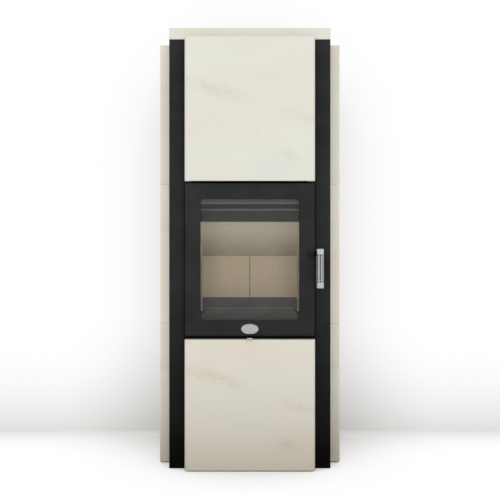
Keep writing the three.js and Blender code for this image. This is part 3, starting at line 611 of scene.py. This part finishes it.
# The ramp's iron is a paler, cooler copy of the cast iron's: painted light.
RAMP_DARK = linear(88, 89, 92)
RAMP_PALE = linear(100, 101, 103)
RAMP_FOOT = linear(52, 52, 53)
RAMP_CORNER_SHADOW = linear(20, 20, 20)
RAMP_HEIGHTS = (0.479, 0.503)
RAMP_UNSHADOWED_HALF = 152 * MM
RAMP_CORNER_SLOPE = 0.5
RAMP_CORNER_BLUR = 2.0 * MM
BLOCK_DARK = linear(122, 118, 111)
BLOCK_PALE = linear(148, 143, 135)
BLOCK_STONES = linear(96, 92, 86)
BLOCK_RELIEF = 0.7 * MM
ZINC_DARK = linear(158, 161, 164)
ZINC_PALE = linear(192, 195, 198)
ZINC_RELIEF = 0.03 * MM
YARN_DARK = linear(64, 63, 61)
YARN_PALE = linear(118, 116, 112)
YARN_RELIEF = 0.4 * MM
BRUSHED_RELIEF = 0.02 * MM
GLASS_TINT = (0.97, 0.967, 0.957)
GLASS_GLOSS = 0.50
GLASS_IOR = 1.45


def cast_iron(name="cast_iron", dark=IRON_DARK, pale=IRON_PALE, darkening=None):
    """Rough-cast iron, dry and slightly brown.

    darkening is a function of the tree, the point and the colour that gives the colour with its darker
    places."""
    material, tree = new_material(name)
    point = place(tree)
    skin = noise(tree, point, scale=240.0, detail=6.0, roughness=0.65)
    cloud = noise(tree, point, scale=16.0, detail=5.0)
    colour = blended(tree, remapped(tree, cloud, 0.36, 0.66, smooth=True), dark, pale)
    if darkening:
        colour = darkening(tree, point, colour)
    rough = remapped(tree, skin, 0.3, 0.7, 0.55, 0.8)
    finish_principled(tree, colour, rough, skin, IRON_RELIEF, 0.8, Metallic=0.25, Specular_IOR_Level=0.3)
    return material


def ramp_darkening(tree, point, colour):
    """The ramp is darker towards its foot, and has painted shadow in its two corners, beside the side bricks.
    """
    across, _, height = parts_of(tree, point)
    colour = blended(tree, remapped(tree, height, *RAMP_HEIGHTS, 1.0, 0.0), colour, RAMP_FOOT)
    slope = times(tree, minus(tree, RAMP_HEIGHTS[1], height), RAMP_CORNER_SLOPE)
    past = minus(tree, math_node(tree, "ABSOLUTE", across), added(tree, slope, RAMP_UNSHADOWED_HALF))
    return blended(tree, remapped(tree, past, 0.0, RAMP_CORNER_BLUR), colour, RAMP_CORNER_SHADOW)


def storage_block():
    """Cast heat-storage concrete with aggregate and air pores."""
    material, tree = new_material("storage_block")
    point = place(tree)
    grains = put(tree, "TexVoronoi", {"Vector": point, "Scale": 210.0})
    pores = speckle(tree, point, 120.0, 0.60, 0.72)
    cloud = noise(tree, point, scale=11.0, detail=5.0)
    colour = blended(tree, remapped(tree, cloud, 0.3, 0.7), BLOCK_DARK, BLOCK_PALE)
    colour = blended(tree, remapped(tree, grains, 0.1, 0.6, 0.35, 0.0), colour, BLOCK_STONES)
    height = minus(tree, grains, pores)
    finish_principled(tree, colour, 0.9, height, BLOCK_RELIEF, 0.6, Specular_IOR_Level=0.2)
    return material


def zinc_sheet():
    """Zinc-coated sheet with its crystal pattern."""
    material, tree = new_material("zinc_sheet")
    point = place(tree)
    crystals = put(tree, "TexVoronoi", {"Vector": point, "Scale": 90.0}, output="Color")
    shade = parts_of(tree, crystals)[0]
    colour = blended(tree, remapped(tree, shade, 0.0, 1.0), ZINC_DARK, ZINC_PALE)
    rough = remapped(tree, shade, 0.0, 1.0, 0.34, 0.5)
    finish_principled(tree, colour, rough, noise(tree, point, scale=300.0), ZINC_RELIEF, Metallic=0.85)
    return material


def brush_lines(tree, stretch):
    """Fine lines along the axis in which the stretch is small."""
    return noise(tree, place(tree, scale=stretch), scale=1.0, detail=5.0, roughness=0.7)


def brushed_steel(name, stretch, dark, pale, roughness=0.3):
    """Stainless steel with fine brush lines."""
    material, tree = new_material(name)
    lines = brush_lines(tree, stretch)
    colour = blended(tree, remapped(tree, lines, 0.3, 0.7), dark, pale)
    rough = remapped(tree, lines, 0.3, 0.7, roughness - 0.07, roughness + 0.09)
    finish_principled(tree, colour, rough, lines, BRUSHED_RELIEF, Metallic=1.0)
    return material


def rope_fibre():
    """Knitted glass-fibre yarn, dark grey with paler threads."""
    material, tree = new_material("rope")
    threads = noise(tree, place(tree), scale=900.0, detail=5.0, roughness=0.75)
    colour = blended(tree, remapped(tree, threads, 0.35, 0.68), YARN_DARK, YARN_PALE)
    finish_principled(tree, colour, 0.95, threads, YARN_RELIEF, 0.8, Specular_IOR_Level=0.15)
    return material


def door_glass():
    """Clear ceramic glass: it lets light through and mirrors a little, more so at a slant."""
    material, tree = new_material("door_glass")
    smudge = noise(tree, place(tree), scale=12.0, detail=4.0)
    through = put(tree, "BsdfTransparent", {"Color": opaque(GLASS_TINT)})
    rough = remapped(tree, smudge, 0.35, 0.7, 0.03, 0.09)
    mirror = put(tree, "BsdfGlossy", {"Color": opaque(WHITE), "Roughness": rough})
    edge = times(tree, put(tree, "Fresnel", {"IOR": GLASS_IOR}), GLASS_GLOSS)
    surface(tree, put(tree, "MixShader", {0: edge, 1: through, 2: mirror}))
    return material


# ---------------- the CAD nodes' materials

ALONG_X = (60.0, 60.0, 2500.0)
ALONG_X_WIDE = (70.0, 70.0, 1600.0)
UPRIGHT = (900.0, 900.0, 60.0)
UPRIGHT_FINE = (900.0, 900.0, 40.0)
SLEEVE_DARK = linear(168, 168, 168)
SLEEVE_PALE = linear(202, 202, 201)
STEEL = brushed_steel("stainless", ALONG_X, linear(176, 177, 179), linear(214, 215, 216))
PIN_STEEL = brushed_steel("pin_steel", UPRIGHT, linear(34, 34, 35), linear(52, 51, 50), roughness=0.42)
BADGE_STEEL = brushed_steel("badge_steel", ALONG_X_WIDE, linear(161, 161, 161), linear(197, 197, 197), 0.36)
END_STEEL = brushed_steel("grip_steel", UPRIGHT_FINE, linear(176, 176, 176), linear(211, 211, 210))
SLEEVE_STEEL = brushed_steel("sleeve_steel", UPRIGHT_FINE, SLEEVE_DARK, SLEEVE_PALE)
BLACK_PAINT = stove_paint("black_paint")
ZINC = zinc_sheet()
ROPE_YARN = rope_fibre()
BRICK_EDGE = 0.6 * MM
IRON_EDGE = 0.5 * MM
EDGE_SEGMENTS = 2
SHARPEST_SMOOTH_EDGE = math.radians(35)


def nodes_named(*starts):
    """Every CAD node whose name starts with one of these."""
    return [node for name, node in NODES.items() if name.startswith(starts)]


def clothe(material, *starts):
    for node in nodes_named(*starts):
        node.material_slots[0].material = material


def soften_edges(width, *starts):
    for node in nodes_named(*starts):
        bevel = node.modifiers.new("soft_edge", "BEVEL")
        bevel.width = width
        bevel.segments = EDGE_SEGMENTS
        bevel.limit_method = "ANGLE"
        bevel.angle_limit = SHARPEST_SMOOTH_EDGE
        bevel.harden_normals = True


def dress_stone():
    panel = "lower_front_tile"
    clothe(stone("stone_lower", panel, STREAKS, LOWER_SHADE_PALE, LOWER_SHADE_WARM, shade=PANEL_FOOT_SHADE), panel)
    clothe(stone("stone_upper", "upper_front_tile"), "upper_front_tile")
    clothe(stone("stone_slab", "top_slab", plane=TOP_PLANE), "top_slab")
    for side, side_shade_share in SIDE_SHADE_SHARES.items():
        for row, row_share in ROW_SHARES.items():
            tile = f"side_tile_{row}_{side}"
            light = scaled(SIDE_LIT_PALE, side_shade_share, row_share)
            warm = scaled(SIDE_LIT_WARM, side_shade_share, row_share)
            shade = SIDE_FOOT_SHADES[side]
            clothe(stone(f"stone_{tile}", tile, SIDE_STREAKS, light, warm, SIDE_PLANE, shade), tile)


def dress_paint():
    clothe(BLACK_PAINT, "base_plate", "side_panel", "rear_panel", "support_plate", "flue_collar")
    clothe(stove_paint("door_paint", DOOR_DARK, DOOR_LIGHT, shade=DOOR_FOOT_SHADE), "door_frame")
    # The posts' paint is darkened at the foot and in the corners: painted shade.
    posts = stove_paint("post_paint", POST_DARK, POST_LIGHT, 0.10, POST_FOOT_SHADE, corners=True)
    clothe(posts, "post")
    # The sheets in the gaps are painted near black: painted shade.
    gap_shade_paint = stove_paint("gap_shade_black", GAP_SHADE_DARK, GAP_SHADE_PALE, gloss=0.08)
    clothe(gap_shade_paint, "lower_tile_carrier", "upper_tile_carrier", "face_frame", "air_slide")
    clothe(arm_paint(), "handle_arm")
    clothe(firebox_paint(), "firebox")
    clothe(firebox_paint("airwash_black", light_and_shade_bands=(AIRWASH_FACE_SHADE, BEAD_HIGHLIGHT)), "airwash_duct")
    clothe(firebox_paint("liner_black", LINER_DARK, LINER_PALE, (LINER_EDGE_HIGHLIGHT,)), "door_inner_panel")


def dress_fire_parts():
    clothe(firebrick("floor_firebrick"), "floor_brick")
    clothe(firebrick("rear_firebrick", rear_shade_and_joint), "rear_brick")
    clothe(firebrick("side_firebrick", side_darkening, PALER_BRICK_DEEP, PALER_BRICK_PALE), "side_brick")
    clothe(firebrick("baffle_firebrick", baffle_shade, PALER_BRICK_DEEP, PALER_BRICK_PALE), "baffle_plate")
    clothe(cast_iron(), "grate", "log_guard")
    clothe(cast_iron("ramp_iron", RAMP_DARK, RAMP_PALE, ramp_darkening), "front_ramp")
    clothe(storage_block(), "heat_block")
    clothe(ZINC, "ash_pan", "flue_duct", "air_box")
    clothe(STEEL, "grip", "badge_plate", "latch", "air_knob")
    clothe(PIN_STEEL, "hinge_pin")
    clothe(ROPE_YARN, "glass_seal", "door_gasket")
    clothe(door_glass(), "door_glass")
    soften_edges(BRICK_EDGE, "side_brick", "rear_brick", "floor_brick", "baffle_plate", "heat_block")
    soften_edges(IRON_EDGE, "log_guard", "front_ramp", "grate", "latch")


# ---------------- modelling helpers

TO_FRONT = Matrix.Rotation(math.pi / 2, 4, "X")
TO_BACK = Matrix.Rotation(-math.pi / 2, 4, "X")


def make_piece(name, points, faces, material, body, slot):
    mesh = bpy.data.meshes.new(name)
    mesh.from_pydata([tuple(p) for p in points], [], faces)
    mesh.validate()
    mesh.polygons.foreach_set("use_smooth", [True] * len(mesh.polygons))
    mesh.materials.append(material)
    piece = new_object(name, mesh)
    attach(piece, body)
    return piece


def rings_to_faces(count, sides, closed=True):
    """Quads between rings of points that follow each other, from a first ring at index 0."""
    faces = []
    for ring in range(count if closed else count - 1):
        here, there = ring * sides, ((ring + 1) % count) * sides
        for i in range(sides):
            j = (i + 1) % sides
            faces.append((here + i, here + j, there + j, there + i))
    return faces


def capped(count, sides):
    """The faces of a stack of rings with a flat cap at each end."""
    caps = [tuple(reversed(range(sides))), tuple((count - 1) * sides + i for i in range(sides))]
    return rings_to_faces(count, sides, closed=False) + caps


def circle(sides):
    angles = [2 * math.pi * i / sides for i in range(sides)]
    return [(math.cos(angle), math.sin(angle)) for angle in angles]


def joined(shapes):
    """The points and faces of several shapes as one shape."""
    points, faces = [], []
    for shape_points, shape_faces in shapes:
        start = len(points)
        points += shape_points
        faces += [tuple(start + i for i in face) for face in shape_faces]
    return points, faces


def copies(shape, places):
    """One shape, repeated at each of the matrices."""
    points, faces = shape
    return joined([([matrix @ p for p in points], faces) for matrix in places])


# ---------------- handle

GRIP_INSIDE_RADII = (8.0 * MM, 9.0 * MM)
ROD_SHADE_BLACK = linear(14, 14, 14)
HOLE_ROWS = 12
HOLE_COLUMNS = 8
FIRST_HOLE_TURN = math.radians(1)
HOLE_RADIUS = 3.0 * MM
HOLE_SIDES = 16
HOLE_RING_SHARES = (0.0, 0.35, 1.0)
SLEEVE_WALL = 1.2 * MM
SAME_POINT = 0.02 * MM
CAP_SIDES = 48
CAP_ROUND = 1.6 * MM
CAP_ROUND_STEPS = 4
CAP_GROOVE = 0.5 * MM
CORE_RADIUS = 7.0 * MM


def core_steel():
    """The end is brushed steel; the rod inside the sleeve is black and rough, painted shade seen through the
    holes.
    """
    material, tree = new_material("grip_core_steel")
    lines = brush_lines(tree, UPRIGHT_FINE)
    parts = parts_of(tree, object_point(tree))
    offsets = [minus(tree, parts[axis], GRIP_AXIS[axis]) for axis in range(2)]
    radius = math_node(tree, "SQRT", added(tree, *[times(tree, offset, offset) for offset in offsets]))
    outside = remapped(tree, radius, *GRIP_INSIDE_RADII)
    below = math_node(tree, "LESS_THAN", parts[2], low("grip_sleeve").z)
    end = math_node(tree, "MAXIMUM", outside, below)
    steel = blended(tree, remapped(tree, lines, 0.3, 0.7), SLEEVE_DARK, SLEEVE_PALE)
    colour = blended(tree, end, ROD_SHADE_BLACK, steel)
    rough = remapped(tree, end, 0.0, 1.0, 0.8, 0.31)
    finish_principled(tree, colour, rough, lines, BRUSHED_RELIEF, Metallic=end, Specular_IOR_Level=0.1)
    return material


def hole_cell(half_wide, half_high):
    """Points of a flat cell round one hole, from the hole outwards, and its faces."""
    rings = []
    for share in HOLE_RING_SHARES:
        for along, up in circle(HOLE_SIDES):
            to_edge = 1.0 / max(abs(along), abs(up))
            round_point = Vector((along * HOLE_RADIUS, up * HOLE_RADIUS))
            edge_point = Vector((along * to_edge * half_wide, up * to_edge * half_high))
            rings.append(round_point.lerp(edge_point, share))
    return rings, rings_to_faces(len(HOLE_RING_SHARES), HOLE_SIDES, closed=False)


def close_seams(mesh):
    """Joins the cells' shared points and turns all faces outwards."""
    merge = bmesh.new()
    merge.from_mesh(mesh)
    bmesh.ops.remove_doubles(merge, verts=merge.verts, dist=SAME_POINT)
    bmesh.ops.recalc_face_normals(merge, faces=merge.faces)
    merge.to_mesh(mesh)
    merge.free()


def make_grip_sleeve():
    """The perforated tube, rolled from a flat sheet with a round hole in every cell."""
    lowest, highest = low("grip_sleeve"), high("grip_sleeve")
    radius = (highest.x - lowest.x) / 2
    half_high = (highest.z - lowest.z) / HOLE_ROWS / 2
    half_turn = math.pi / HOLE_COLUMNS
    cell, cell_faces = hole_cell(half_turn * radius, half_high)
    cells = []
    for row in range(HOLE_ROWS):
        for column in range(HOLE_COLUMNS):
            middle = FIRST_HOLE_TURN + 2 * half_turn * column - math.pi / 2
            points = []
            for point in cell:
                turn = middle + point.x / radius
                x = GRIP_AXIS.x + radius * math.cos(turn)
                y = GRIP_AXIS.y + radius * math.sin(turn)
                points.append((x, y, lowest.z + (2 * row + 1) * half_high + point.y))
            cells.append((points, cell_faces))
    sleeve = make_piece("grip_perforated_sleeve", *joined(cells), SLEEVE_STEEL, "handle", "stainless")
    close_seams(sleeve.data)
    wall = sleeve.modifiers.new("wall", "SOLIDIFY")
    wall.thickness = SLEEVE_WALL
    wall.offset = -1.0
    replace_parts(sleeve, "grip_sleeve")


def cap_profile(radius, tall):
    """Radii and heights of a turned end: a fine groove at the sleeve, then a rounded rim."""
    neck = radius - CAP_GROOVE
    profile = [(neck, 0.0), (neck, CAP_GROOVE), (radius, 2 * CAP_GROOVE), (radius, tall - CAP_ROUND)]
    for step in range(1, CAP_ROUND_STEPS + 1):
        angle = step * math.pi / (2 * CAP_ROUND_STEPS)
        inward, down = CAP_ROUND * (1 - math.cos(angle)), CAP_ROUND * (1 - math.sin(angle))
        profile.append((radius - inward, tall - down))
    return profile


def turned_on_grip(name, profile, material):
    """A piece turned about the grip's axis from radii and heights, closed at both ends."""
    points = [Vector((GRIP_AXIS.x + radius * x, GRIP_AXIS.y + radius * y, z))
              for radius, z in profile for x, y in circle(CAP_SIDES)]
    return make_piece(name, points, capped(len(profile), CAP_SIDES), material, "handle", "stainless")


def make_grip_ends():
    """The upper end, and the core that carries the lower end."""
    bottom, top = low("grip_end_upper").z, high("grip_end_upper").z
    radius = (high("grip_end_upper").x - low("grip_end_upper").x) / 2
    tall = top - bottom
    profile = [(r, bottom + z) for r, z in cap_profile(radius, tall)]
    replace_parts(turned_on_grip("grip_turned_top", profile, END_STEEL), "grip_end_upper")
    shoulder = low("grip_core").z + tall
    profile = [(CORE_RADIUS, high("grip_core").z), (CORE_RADIUS, shoulder)]
    profile += [(r, shoulder - z) for r, z in cap_profile(radius, tall)]
    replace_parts(turned_on_grip("grip_turned_core", profile, core_steel()), "grip_core")


# ---------------- oval plate on the door

OVAL_SIDES = 64
OVAL_RIM = 1.1 * MM
OVAL_CHANNEL = 0.8 * MM
OVAL_DOME_RISE = 0.35 * MM
OVAL_DOME_STEPS = 6
OVAL_DOME_FOOT = 0.62
# The rim's section: widths inwards as shares of the rim, heights as shares of the plate's thickness.
OVAL_RIM_SECTION = (
    (0.0, 0.0), (0.0, 0.7), (0.25, 0.93), (0.6, 1.0), (1.0, 1.0), (1.25, 0.9), (1.45, 0.62), (1.9, 0.6),
)


def make_oval_plate():
    """A bare oval plate: a raised rim, a fine channel and a slightly domed middle."""
    lowest, highest = low("badge_plate"), high("badge_plate")
    half = (highest - lowest) / 2
    middle = (highest + lowest) / 2
    thick = highest.y - lowest.y
    levels = []
    for inset, share in OVAL_RIM_SECTION:
        inward = inset * OVAL_RIM
        levels.append((half.x - inward, half.z - inward, share * thick))
    inward = OVAL_RIM_SECTION[-1][0] * OVAL_RIM
    dome_x, dome_z = half.x - inward - OVAL_CHANNEL, half.z - inward - OVAL_CHANNEL
    for step in range(OVAL_DOME_STEPS):
        angle = step * math.pi / (2 * OVAL_DOME_STEPS)
        rise = OVAL_DOME_FOOT * thick + OVAL_DOME_RISE * math.sin(angle)
        levels.append((dome_x * math.cos(angle), dome_z * math.cos(angle), rise))
    stacked = [Vector((x * wide, y * tall, z)) for wide, tall, z in levels for x, y in circle(OVAL_SIDES)]
    back = Vector((middle.x, highest.y, middle.z))
    points = [TO_FRONT @ p + back for p in stacked]
    faces = capped(len(levels), OVAL_SIDES)
    plate = make_piece("badge_bare_plate", points, faces, BADGE_STEEL, "door", "stainless")
    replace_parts(plate, "badge_plate")


# ---------------- rope seal of the door

ROPE_CORNER = 12 * MM
ROPE_CORNER_STEPS = 6
ROPE_STEP = 2.5 * MM
ROPE_SIDES = 12
ROPE_CORE_SHARE = 0.62
YARNS = 8
YARN_TURN = 34 * MM
YARN_SIDES = 6
YARN_SHARE = 0.26
YARN_WEAVE_SHARE = 0.06
YARN_INSET = 1.3


def rounded_loop(half, bottom, top, y):
    """Points along a rounded upright rectangle, with their outward directions."""
    stops = []
    corners = ((half, bottom, -90), (half, top, 0), (-half, top, 90), (-half, bottom, 180))
    for x, z, turn in corners:
        centre_x = x - math.copysign(ROPE_CORNER, x)
        centre_z = z + (ROPE_CORNER if z == bottom else -ROPE_CORNER)
        for k in range(ROPE_CORNER_STEPS + 1):
            angle = math.radians(turn + k * 90 / ROPE_CORNER_STEPS)
            outward = Vector((math.cos(angle), 0.0, math.sin(angle)))
            stops.append((Vector((centre_x, 0.0, centre_z)) + outward * ROPE_CORNER, outward))
    loop = []
    for i, (start, outward) in enumerate(stops):
        end, next_outward = stops[(i + 1) % len(stops)]
        count = max(1, round((end - start).length / ROPE_STEP))
        for k in range(count):
            share = k / count
            point = start.lerp(end, share) + Vector((0.0, y, 0.0))
            loop.append((point, outward.lerp(next_outward, share).normalized()))
    return loop


def swept(loop, offset, radius, sides):
    """A closed tube that follows a loop; offset(i) gives its centre's place outwards and back."""
    centres = []
    for i, (point, outward) in enumerate(loop):
        across, back = offset(i)
        centres.append(point + outward * across + Vector((0.0, back, 0.0)))
    count = len(centres)
    points = []
    for i, centre in enumerate(centres):
        along = (centres[(i + 1) % count] - centres[i - 1]).normalized()
        side = along.cross(Vector((0.0, 1.0, 0.0))).normalized()
        up = side.cross(along)
        points += [centre + side * (radius * x) + up * (radius * z) for x, z in circle(sides)]
    return points, rings_to_faces(count, sides)


def make_rope():
    """A core with yarns braided over it, half of them winding each way."""
    lowest, highest = low("door_gasket"), high("door_gasket")
    radius = (highest.y - lowest.y) / 2
    middle = (highest.y + lowest.y) / 2
    loop = rounded_loop(highest.x - radius, lowest.z + radius, highest.z - radius, middle)
    turns = round(len(loop) * ROPE_STEP / YARN_TURN)
    yarn = YARN_SHARE * radius
    tubes = [swept(loop, lambda i: (0.0, 0.0), ROPE_CORE_SHARE * radius, ROPE_SIDES)]
    for strand in range(YARNS):
        way = 1 if strand % 2 else -1
        start = 2 * math.pi * (strand // 2) / (YARNS / 2)

        def offset(i, way=way, start=start):
            angle = way * (2 * math.pi * turns * i / len(loop)) + start
            over = YARN_WEAVE_SHARE * radius * math.cos(way * angle * YARNS / 2)
            reach = radius - YARN_INSET * yarn + over
            return reach * math.cos(angle), reach * math.sin(angle)

        tubes.append(swept(loop, offset, yarn, YARN_SIDES))
    rope = make_piece("door_braided_rope", *joined(tubes), ROPE_YARN, "door", "rope")
    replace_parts(rope, "door_gasket")


# ---------------- screws

SCREW_RADIUS = 4.2 * MM
SCREW_HEIGHT = 2.6 * MM
SCREW_SIDES = 24
# Radii and heights of a screw head, as shares of its radius and height.
SCREW_SECTION = ((1.0, 0.0), (1.0, 0.28), (0.95, 0.52), (0.84, 0.76), (0.68, 0.93), (0.54, 1.0))
SOCKET_DEPTH_SHARE = 0.55
SOCKET_RADIUS_SHARE = 0.40
SCREW_TURN = math.radians(37)

LINER_REAR = FRONT + 43.4 * MM
LINER_SIDE_SCREWS_X = 194 * MM
LINER_SIDE_SCREW_HEIGHTS = tuple(z * MM for z in (500, 580, 660, 740, 820))
LINER_ROW_PITCH = 62 * MM
LINER_LOWER_ROW = 447 * MM
LINER_UPPER_ROW = 909 * MM
LATCH_CLEARANCE = 30 * MM

REAR_SCREW_INSET = 9 * MM
REAR_SCREW_MARGIN = 30 * MM
REAR_SIDE_SCREWS = 8
REAR_ROW_PITCH = 84 * MM
REAR_TOP_ROW_INSET = 8 * MM


def screw_head():
    """A pan head with a hexagonal socket, standing on z = 0. Returns points and faces."""
    points = [Vector((x * r * SCREW_RADIUS, y * r * SCREW_RADIUS, z * SCREW_HEIGHT))
              for r, z in SCREW_SECTION for x, y in circle(SCREW_SIDES)]
    sixth = math.pi / 3
    for height_share in (1.0, 1.0 - SOCKET_DEPTH_SHARE):
        for i in range(SCREW_SIDES):
            angle = 2 * math.pi * i / SCREW_SIDES
            from_flat = (angle + sixth / 2) % sixth - sixth / 2
            reach = SOCKET_RADIUS_SHARE * SCREW_RADIUS / math.cos(from_flat)
            x, y = reach * math.cos(angle), reach * math.sin(angle)
            points.append(Vector((x, y, SCREW_HEIGHT * height_share)))
    return points, capped(len(SCREW_SECTION) + 2, SCREW_SIDES)


def put_screws(name, feet, body):
    """Screw heads standing backwards on a face; feet are the places x, y, z of each."""
    places = []
    for i, foot in enumerate(feet):
        turn = Matrix.Rotation(SCREW_TURN * i, 4, "Z")
        places.append(Matrix.Translation(foot) @ TO_BACK @ turn)
    make_piece(name, *copies(screw_head(), places), ZINC, body, "zinc_sheet")


def make_screws():
    """Round the door's inner sheet, but not at the latch, and round the rear sheet."""
    feet = []
    for side in (-1, 1):
        for z in LINER_SIDE_SCREW_HEIGHTS:
            if side < 0 or abs(z - LATCH_Z) >= LATCH_CLEARANCE:
                feet.append((side * LINER_SIDE_SCREWS_X, LINER_REAR, z))
    for column in range(-3, 4):
        if column:
            feet.append((column * LINER_ROW_PITCH, LINER_REAR, LINER_LOWER_ROW))
        feet.append((column * LINER_ROW_PITCH, LINER_REAR, LINER_UPPER_ROW))
    put_screws("door_liner_screws", feet, "door")
    edge = high("rear_panel")
    step = (edge.z - 2 * REAR_SCREW_MARGIN) / (REAR_SIDE_SCREWS - 1)
    heights = [REAR_SCREW_MARGIN + i * step for i in range(REAR_SIDE_SCREWS)]
    feet = [(side * (edge.x - REAR_SCREW_INSET), edge.y, z) for side in (-1, 1) for z in heights]
    rows = (REAR_SCREW_MARGIN, edge.z - REAR_TOP_ROW_INSET)
    feet += [(column * REAR_ROW_PITCH, edge.y, z) for column in range(-2, 3) for z in rows]
    put_screws("rear_panel_screws", feet, "stove")


# ---------------- hoods over the rear vents

HOOD_WIDTH = 66 * MM
HOOD_HEIGHT = 12 * MM
HOOD_DEPTH = 7 * MM
HOOD_WALL = 1.2 * MM
HOOD_ROWS = 8
HOOD_COLUMNS = 11
HOOD_FULLNESS = 3.5
HOODS_ACROSS = 5
HOOD_PITCH = 84 * MM
HOOD_HEIGHTS = tuple(z * MM for z in (60, 82, 104, 1354, 1372))


def hood():
    """A pressed louvre: a shell that bulges from its upper edge and opens at its lower edge."""
    outer, inner = [], []
    for row in range(HOOD_ROWS + 1):
        angle = math.pi / 2 * row / HOOD_ROWS
        for column in range(HOOD_COLUMNS):
            across = -1 + 2 * column / (HOOD_COLUMNS - 1)
            swell = math.sqrt(max(0.0, 1 - abs(across) ** HOOD_FULLNESS))
            reach = HOOD_DEPTH * math.sin(angle) * swell
            up = HOOD_HEIGHT * (0.5 - (1 - math.cos(angle)))
            outer.append(Vector((across * HOOD_WIDTH / 2, reach, up)))
            x = across * (HOOD_WIDTH / 2 - HOOD_WALL)
            inner.append(Vector((x, max(0.0, reach - HOOD_WALL), up - HOOD_WALL * math.cos(angle))))
    total = len(outer)
    faces = []
    for row in range(HOOD_ROWS):
        for column in range(HOOD_COLUMNS - 1):
            a = row * HOOD_COLUMNS + column
            b, c, d = a + 1, a + HOOD_COLUMNS + 1, a + HOOD_COLUMNS
            faces += [(a, b, c, d), (total + d, total + c, total + b, total + a)]
    last_column = HOOD_COLUMNS - 1
    rim = list(range(HOOD_COLUMNS))
    rim += [row * HOOD_COLUMNS + last_column for row in range(1, HOOD_ROWS + 1)]
    rim += [HOOD_ROWS * HOOD_COLUMNS + column for column in range(last_column - 1, -1, -1)]
    rim += [row * HOOD_COLUMNS for row in range(HOOD_ROWS - 1, 0, -1)]
    for i, a in enumerate(rim):
        b = rim[(i + 1) % len(rim)]
        faces.append((b, a, total + a, total + b))
    return outer + inner, faces


def make_hoods():
    rear = high("rear_panel").y
    middle = HOODS_ACROSS // 2
    places = [Matrix.Translation(((column - middle) * HOOD_PITCH, rear, z))
              for z in HOOD_HEIGHTS for column in range(HOODS_ACROSS)]
    make_piece("rear_vent_hoods", *copies(hood(), places), BLACK_PAINT, "stove", "black_paint")


# ---------------- rings of the collar and the air inlet

RING_SIDES = 64
ROLL_SIDES = 12
ROLL = 1.4 * MM
SWAGE = 1.6 * MM
SWAGE_FROM_END = 15 * MM
COLLAR_ROLL_RADIUS = 75.2 * MM
COLLAR_SWAGE_RADIUS = 74.8 * MM
COLLAR_HOLE = 80 * MM
INLET_ROLL_RADIUS = 50.2 * MM
INLET_HOLE = 53 * MM
INLET_Z = 376 * MM
# A trim's section: distances outwards from the edge of the hole, and backwards from the rear sheet.
TRIM_SECTION = tuple((out * MM, back * MM) for out, back in (
    (-1.5, 0.0), (-1.5, 1.0), (-0.3, 2.0), (1.5, 2.0), (5.0, 1.2), (6.0, 0.0),
))


def make_ring(name, profile, centre_z, material, slot):
    """A ring turned about a line along the depth, from a closed profile of radii and places along Y."""
    points = [Vector((radius * x, y, centre_z + radius * z))
              for x, z in circle(RING_SIDES) for radius, y in profile]
    make_piece(name, points, rings_to_faces(RING_SIDES, len(profile)), material, "stove", slot)


def rolled(radius, y, thickness):
    """A round section at one radius and place along Y."""
    return [(radius + thickness * x, y + thickness * z) for x, z in circle(ROLL_SIDES)]


def make_rings():
    """Rolled ends on the collar and the air inlet, a swage on the collar, and trims round their holes."""
    collar_z = ((low("flue_collar") + high("flue_collar")) / 2).z
    collar_end, inlet_end = high("flue_collar").y, high("air_box").y
    rear = high("rear_panel").y
    roll = rolled(COLLAR_ROLL_RADIUS, collar_end - ROLL, ROLL)
    make_ring("collar_rolled_end", roll, collar_z, BLACK_PAINT, "black_paint")
    swage = rolled(COLLAR_SWAGE_RADIUS, collar_end - SWAGE_FROM_END, SWAGE)
    make_ring("collar_swage", swage, collar_z, BLACK_PAINT, "black_paint")
    roll = rolled(INLET_ROLL_RADIUS, inlet_end - ROLL, ROLL)
    make_ring("inlet_rolled_end", roll, INLET_Z, ZINC, "zinc_sheet")
    for name, hole, centre_z in (("collar_trim", COLLAR_HOLE, collar_z), ("inlet_trim", INLET_HOLE, INLET_Z)):
        trim = [(hole + out, rear + back) for out, back in TRIM_SECTION]
        make_ring(name, trim, centre_z, BLACK_PAINT, "black_paint")


# ---------------- the scene

make_camera()
make_world()
make_floor()
make_wall()
dress_stone()
dress_paint()
dress_fire_parts()
make_grip_sleeve()
make_grip_ends()
make_oval_plate()
make_rope()
make_screws()
make_hoods()
make_rings()

bpy.context.scene.view_settings.view_transform = "Standard"
